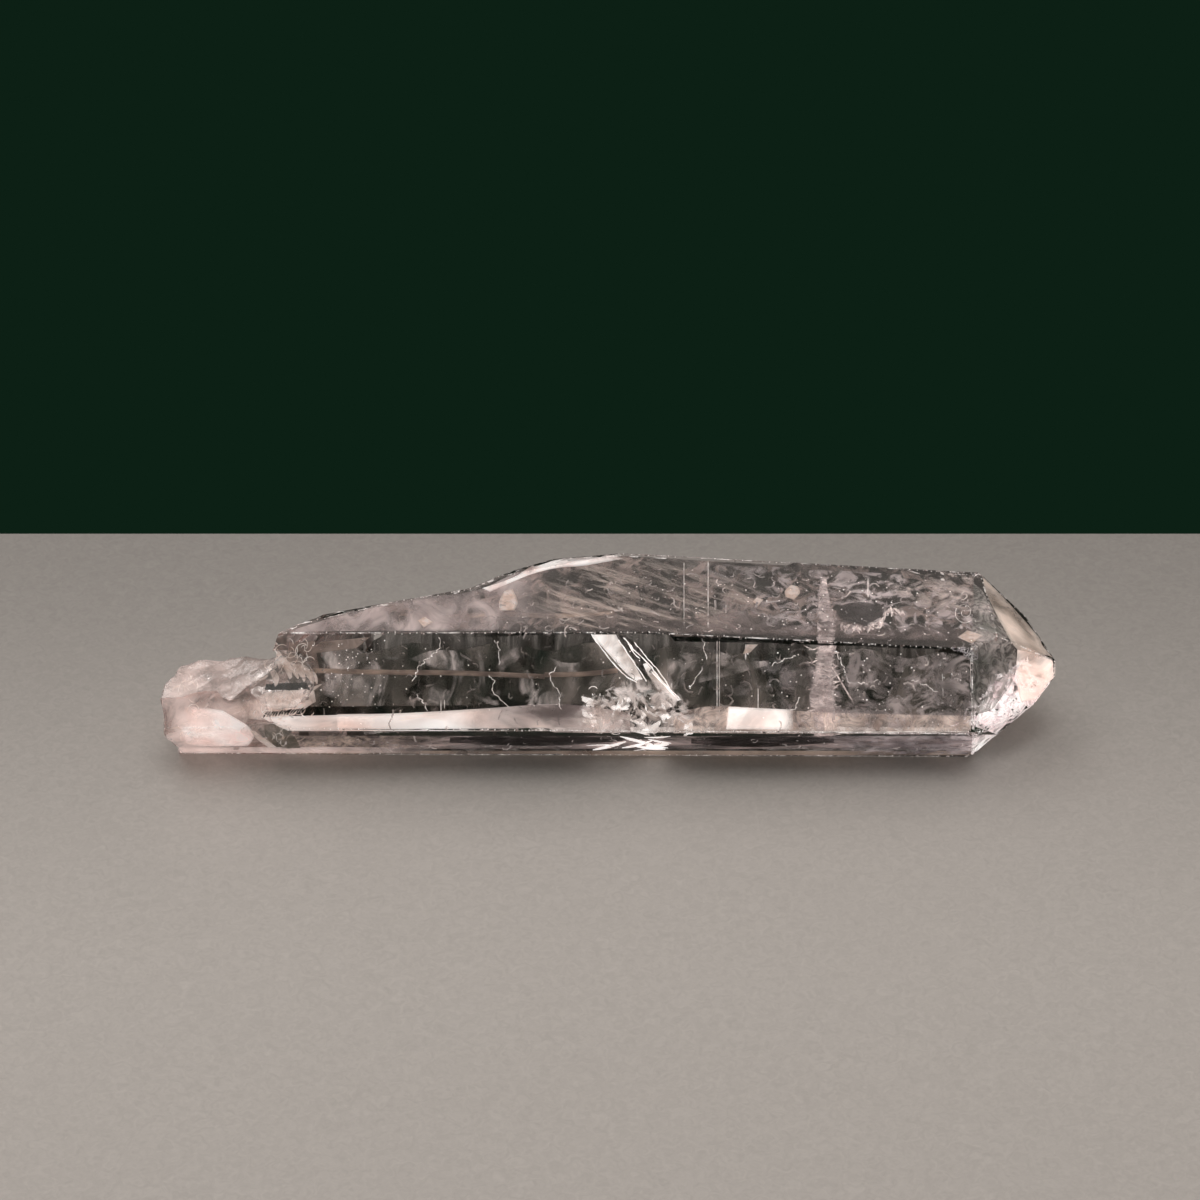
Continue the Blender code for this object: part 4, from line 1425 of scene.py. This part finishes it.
    dict(name="tip_haze", low=(0.84, 0.66, 0.58), high=(1.0, 0.9, 0.85), cover=(0.3, 0.95),
         stretch=260.0, glow=0.78,
         blades=((((45.5, 12.0), (45.4, 9.6), (45.6, 7.4), (45.9, 6.2)), ((46.6, 12.4),
                  (49.7, 10.6), (49.8, 9.2), (47.6, 6.4)), 0.4, 14, 8),)),
    dict(name="tip_wedge", low=(0.5, 0.41, 0.35), high=(0.94, 0.82, 0.74), cover=(0.3, 0.92),
         stretch=260.0, warp=1.0, glow=0.42,
         blades=((((41.6, 20.2), (44.4, 17.4), (47.4, 14.0), (49.7, 11.2)), ((41.9, 18.5),
                  (43.2, 15.9), (44.7, 13.1), (45.5, 12.0)), 0.25, 20, 6),)),
    dict(name="tip_foot", low=(0.8, 0.65, 0.65), high=WHITE, cover=(0.05, 0.97), stretch=420.0,
         warp=2.6, glow=0.7,
         blades=((((40.8, 3.4), (41.8, 6.6), (44.8, 9.8)), ((43.6, 2.4), (46.8, 5.2), (49.8, 8.4)),
                  1.0, 18, 12),
                 (((40.3, 0.3), (40.5, 2.5)), ((41.2, 0.4), (43.6, 2.5)), 0.4, 6, 8))),
    dict(name="tip_mist", low=(0.3, 0.3, 0.27), high=(0.92, 0.83, 0.8), cover=(0.15, 0.72),
         stretch=380.0, warp=3.4, glow=0.14, span=(0.42, 0.6),
         blades=((((40.35, 4.6), (40.35, 9.0), (40.35, 12.9)), ((42.6, 5.2), (45.2, 9.0),
                  (45.3, 12.5)), 0.4, 14, 10),
                 (((40.4, 12.9), (40.5, 16.0), (40.6, 19.6)), ((45.3, 12.4), (43.4, 15.6),
                  (41.6, 18.6)), 0.4, 14, 10))),
)


HAZE_ROUGH = 0.5
HAZE_WAVE, HAZE_LUMP = 0.25, 3.0


class QUARTZ_OT_hazes(bpy.types.Operator):
    """Make the thin hazes, wisps and pale bands under the faces, with painted light and shade among
    them
    """

    bl_idname = "quartz.hazes"
    bl_label = "Hazes"

    def execute(self, context):
        for haze in HAZES:
            finish = inner_material(rough=HAZE_ROUGH, **{
                key: value for key, value in haze.items() if key != "blades"})
            bm = bmesh.new()
            for edge, other, deep, rows, columns in haze["blades"]:
                leaf(bm, edge, other, (deep, deep), rows=rows, columns=columns, wave=HAZE_WAVE,
                     size=HAZE_LUMP)
            settle(object_from(haze["name"], bm, finish))
        return {"FINISHED"}


GLINT_ANGLE = math.radians(20.0)    # edges sharper than this have glints
GLINT_DEEP = 0.13 * MM
GLINT_STEP = 0.8 * MM
GLINT_END = 0.3                 # a glint ends this share of a step short of its edge's end
GLINT_RADIUS = 0.042


class QUARTZ_OT_edges(bpy.types.Operator):
    """Make the painted glints and painted sparkles along the crystal's edges"""

    bl_idname = "quartz.edges"
    bl_label = "Edge Glints"

    def execute(self, context):
        # Painted highlights: glowing tubes and specks just inside the long edges stand for light
        # that the edges catch
        glint = inner_material("edge_glint", PALE, WHITE, (0.0, 0.85), stretch=700.0,
                               warp=0.4, span=(0.50, 0.68), rough=0.2, glow=0.5)
        spark = inner_material("edge_bead", PALE, WHITE, (1.0, 1.0), rough=0.15, glow=0.5)
        solid = clean_solid()
        lines = bmesh.new()
        pairs = []
        for edge in solid.edges:
            if len(edge.link_faces) != 2 or edge.calc_length() < SHORT_EDGE:
                continue
            if edge.calc_face_angle() < GLINT_ANGLE or not any(
                    is_flat(face) for face in edge.link_faces):
                continue
            inward = -sum((face.normal for face in edge.link_faces), Vector()).normalized()
            start, end = (vert.co + inward * GLINT_DEEP for vert in edge.verts)
            count = max(2, int((end - start).length / GLINT_STEP))
            shares = [(GLINT_END + index * (count - 2.0 * GLINT_END) / count) / count
                      for index in range(count + 1)]
            tube(lines, [start.lerp(end, share) for share in shares], GLINT_RADIUS, beads=1.0)
            pairs.append((start, end))
        solid.free()
        # A painted highlight along the upper outline
        strand(lines, [(x, y + 0.4) for x, y in UPPER_TOP[:8]], 0.12, 0.10, jitter=0.06, beads=0.9)
        settle(object_from("edge_glints", lines, glint))
        beads = bmesh.new()
        scatter(beads, edge_host(pairs), "bead", 0.75, (0.03, 0.085), spark, SEED + 30,
                spread=0.10, along_edges=True)
        draw_in(beads, 0.02)
        settle(object_from("edge_beads", beads, spark))
        return {"FINISHED"}


# ---------------------------------------------------------------- stage

# The grain's two tones near the front and far back, as shares of the floor colour; the far tones
# are darker, a painted light falloff towards the back
FLOOR_GRAIN_AND_PAINTED_FALLOFF = {"near dark": 1.10, "far dark": 0.62, "near pale": 1.32, "far pale": 0.76}
FLOOR_PAINTED_FALLOFF = (-55.0 * MM, 45.0 * MM)    # from the near tones to the far ones
FLOOR_GRAIN = 900.0             # how fine its grain is
FLOOR_ROUGH = 0.6
FLOOR_LEFT, FLOOR_RIGHT, FLOOR_FRONT = -1.5, 1.5, -1.5
FLOOR_BEHIND = 45.3 * MM        # how far it reaches behind the crystal's bottom front edge
FLOOR_TOP = -0.05 * MM          # just below the crystal
FLOOR_THICK = 30.0 * MM

DOME_TURN = (-0.2, 0.6)         # where the dome goes from its front colour to its back colour
DOME_SOFT = 0.003               # height of the soft edge of the pale light
LAMP_COLOUR = (1.0, 0.95, 0.92)
# Softboxes: the name, which is that of the setting for its power too, the place and the size
SOFTBOXES = (("softbox", (-0.5, 0.55, 0.9), (0.9, 0.6)),
             ("top_light", (0.05, 0.0, 1.0), (0.5, 0.5)))
LIGHT_PATHS = {"max_bounces": 12, "transmission_bounces": 12, "glossy_bounces": 8,
               "transparent_max_bounces": 32, "use_denoising": True}


def floor_material(settings):
    """Pale matt floor with a fine grain, and a painted light falloff: a little paler towards the
    front, darker at the back.
    """
    material, tree, shader = new_material("pale_floor")
    grain = cloud_mask(tree, Stretch=(FLOOR_GRAIN,) * 3, Warp=1.5, Low=0.25, High=0.75)
    # Painted light falloff: the floor's colour darkens towards the back
    far = ramp_along(tree, object_place(tree), "Y", *FLOOR_PAINTED_FALLOFF)
    tones = {name: [share * part for part in settings.floor_colour]
             for name, share in FLOOR_GRAIN_AND_PAINTED_FALLOFF.items()}
    dark = colour_mix(tree, far, tones["near dark"], tones["far dark"])
    pale = colour_mix(tree, far, tones["near pale"], tones["far pale"])
    put(colour_mix(tree, grain, dark, pale), shader["Base Color"])
    put(FLOOR_ROUGH, shader["Roughness"])
    return material


def make_floor(settings):
    """A flat slab whose far edge lies a short way behind the crystal."""
    bm = bmesh.new()
    low = Vector((FLOOR_LEFT, FLOOR_FRONT, FLOOR_TOP - FLOOR_THICK))
    high = Vector((FLOOR_RIGHT, FRONT_EDGE.y + FLOOR_BEHIND, FLOOR_TOP))
    bmesh.ops.create_cube(bm, size=1.0)
    for vert in bm.verts:
        vert.co = (low + high) / 2.0 + Vector(
            [vert.co[axis] * (high[axis] - low[axis]) for axis in range(3)])
    slab = object_from("floor", bm, floor_material(settings), smooth=False)


def make_world(settings):
    """Dark green surround low down, pale light above, brighter at the back."""
    world = bpy.data.worlds.new("studio")
    bpy.context.scene.world = world
    world.use_nodes = True
    tree = world.node_tree
    sight = tree.nodes.new("ShaderNodeTexCoord").outputs["Generated"]
    back = ramp_along(tree, sight, "Y", *DOME_TURN)
    dome = colour_mix(tree, back, settings.dome_front, settings.dome_back)
    edge = math.sin(settings.horizon)
    high = ramp_along(tree, sight, "Z", edge, edge + DOME_SOFT)
    sky = colour_mix(tree, high, settings.backdrop, dome)
    put(sky, tree.nodes["Background"].inputs["Color"])


def make_softbox(name, place, size, power):
    """A softbox aimed at the crystal."""
    lamp = bpy.data.lights.new(name, "AREA")
    lamp.shape = "RECTANGLE"
    lamp.size, lamp.size_y = size
    lamp.energy = power
    lamp.color = LAMP_COLOUR
    box = add_object(name, lamp)
    box.location = place
    box.rotation_euler = (-box.location).to_track_quat("-Z", "Y").to_euler()


def make_camera():
    """Camera in front of the crystal, looking down on it."""
    camera = bpy.data.cameras.new("front_camera")
    camera.sensor_width = SENSOR
    camera.lens = SENSOR * DISTANCE / VIEW_WIDTH
    camera.clip_start = NEAREST
    holder = add_object("front_camera", camera)
    right = Vector((1.0, 0.0, 0.0))
    turn = Matrix((right, UPWARD, -FORWARD)).transposed()
    holder.matrix_world = Matrix.Translation(EYE) @ turn.to_4x4()
    bpy.context.scene.camera = holder


def set_light_paths():
    """Enough bounces for light to find its way through the crystal and out again."""
    scene = bpy.context.scene
    for name, value in LIGHT_PATHS.items():
        setattr(scene.cycles, name, value)
    scene.view_settings.view_transform = "Standard"


class QUARTZ_OT_stage(bpy.types.Operator):
    """Make the floor, the lights and the camera"""

    bl_idname = "quartz.stage"
    bl_label = "Stage"

    def execute(self, context):
        settings = context.scene.quartz_stage
        make_floor(settings)
        make_world(settings)
        for name, place, size in SOFTBOXES:
            make_softbox(name, place, size, getattr(settings, name))
        make_camera()
        set_light_paths()
        return {"FINISHED"}


# ---------------------------------------------------------------- panel and run

OPERATORS = (
    QUARTZ_OT_stage, QUARTZ_OT_crystal, QUARTZ_OT_clouds, QUARTZ_OT_hazes, QUARTZ_OT_fracture,
    QUARTZ_OT_veils, QUARTZ_OT_threads, QUARTZ_OT_tip, QUARTZ_OT_root, QUARTZ_OT_strokes,
    QUARTZ_OT_bubbles, QUARTZ_OT_edges)


class QUARTZ_PT_panel(bpy.types.Panel):
    """Lists the settings and the pieces"""

    bl_label = "Quartz"
    bl_idname = "QUARTZ_PT_panel"
    bl_space_type = "VIEW_3D"
    bl_region_type = "UI"
    bl_category = "Quartz"

    def draw(self, context):
        for group in (context.scene.quartz, context.scene.quartz_stage):
            for name in group.__annotations__:
                self.layout.prop(group, name)
        for operator in OPERATORS:
            self.layout.operator(operator.bl_idname)


CLASSES = (QuartzSettings, StageSettings, *OPERATORS, QUARTZ_PT_panel)


def register():
    for entry in CLASSES:
        bpy.utils.register_class(entry)
    bpy.types.Scene.quartz = PointerProperty(type=QuartzSettings)
    bpy.types.Scene.quartz_stage = PointerProperty(type=StageSettings)


def unregister():
    del bpy.types.Scene.quartz_stage
    del bpy.types.Scene.quartz
    for entry in reversed(CLASSES):
        bpy.utils.unregister_class(entry)


def main():
    """Build everything in order."""
    register()
    for operator in OPERATORS:
        group, name = operator.bl_idname.split(".")
        getattr(getattr(bpy.ops, group), name)()


if __name__ == "__main__":
    main()
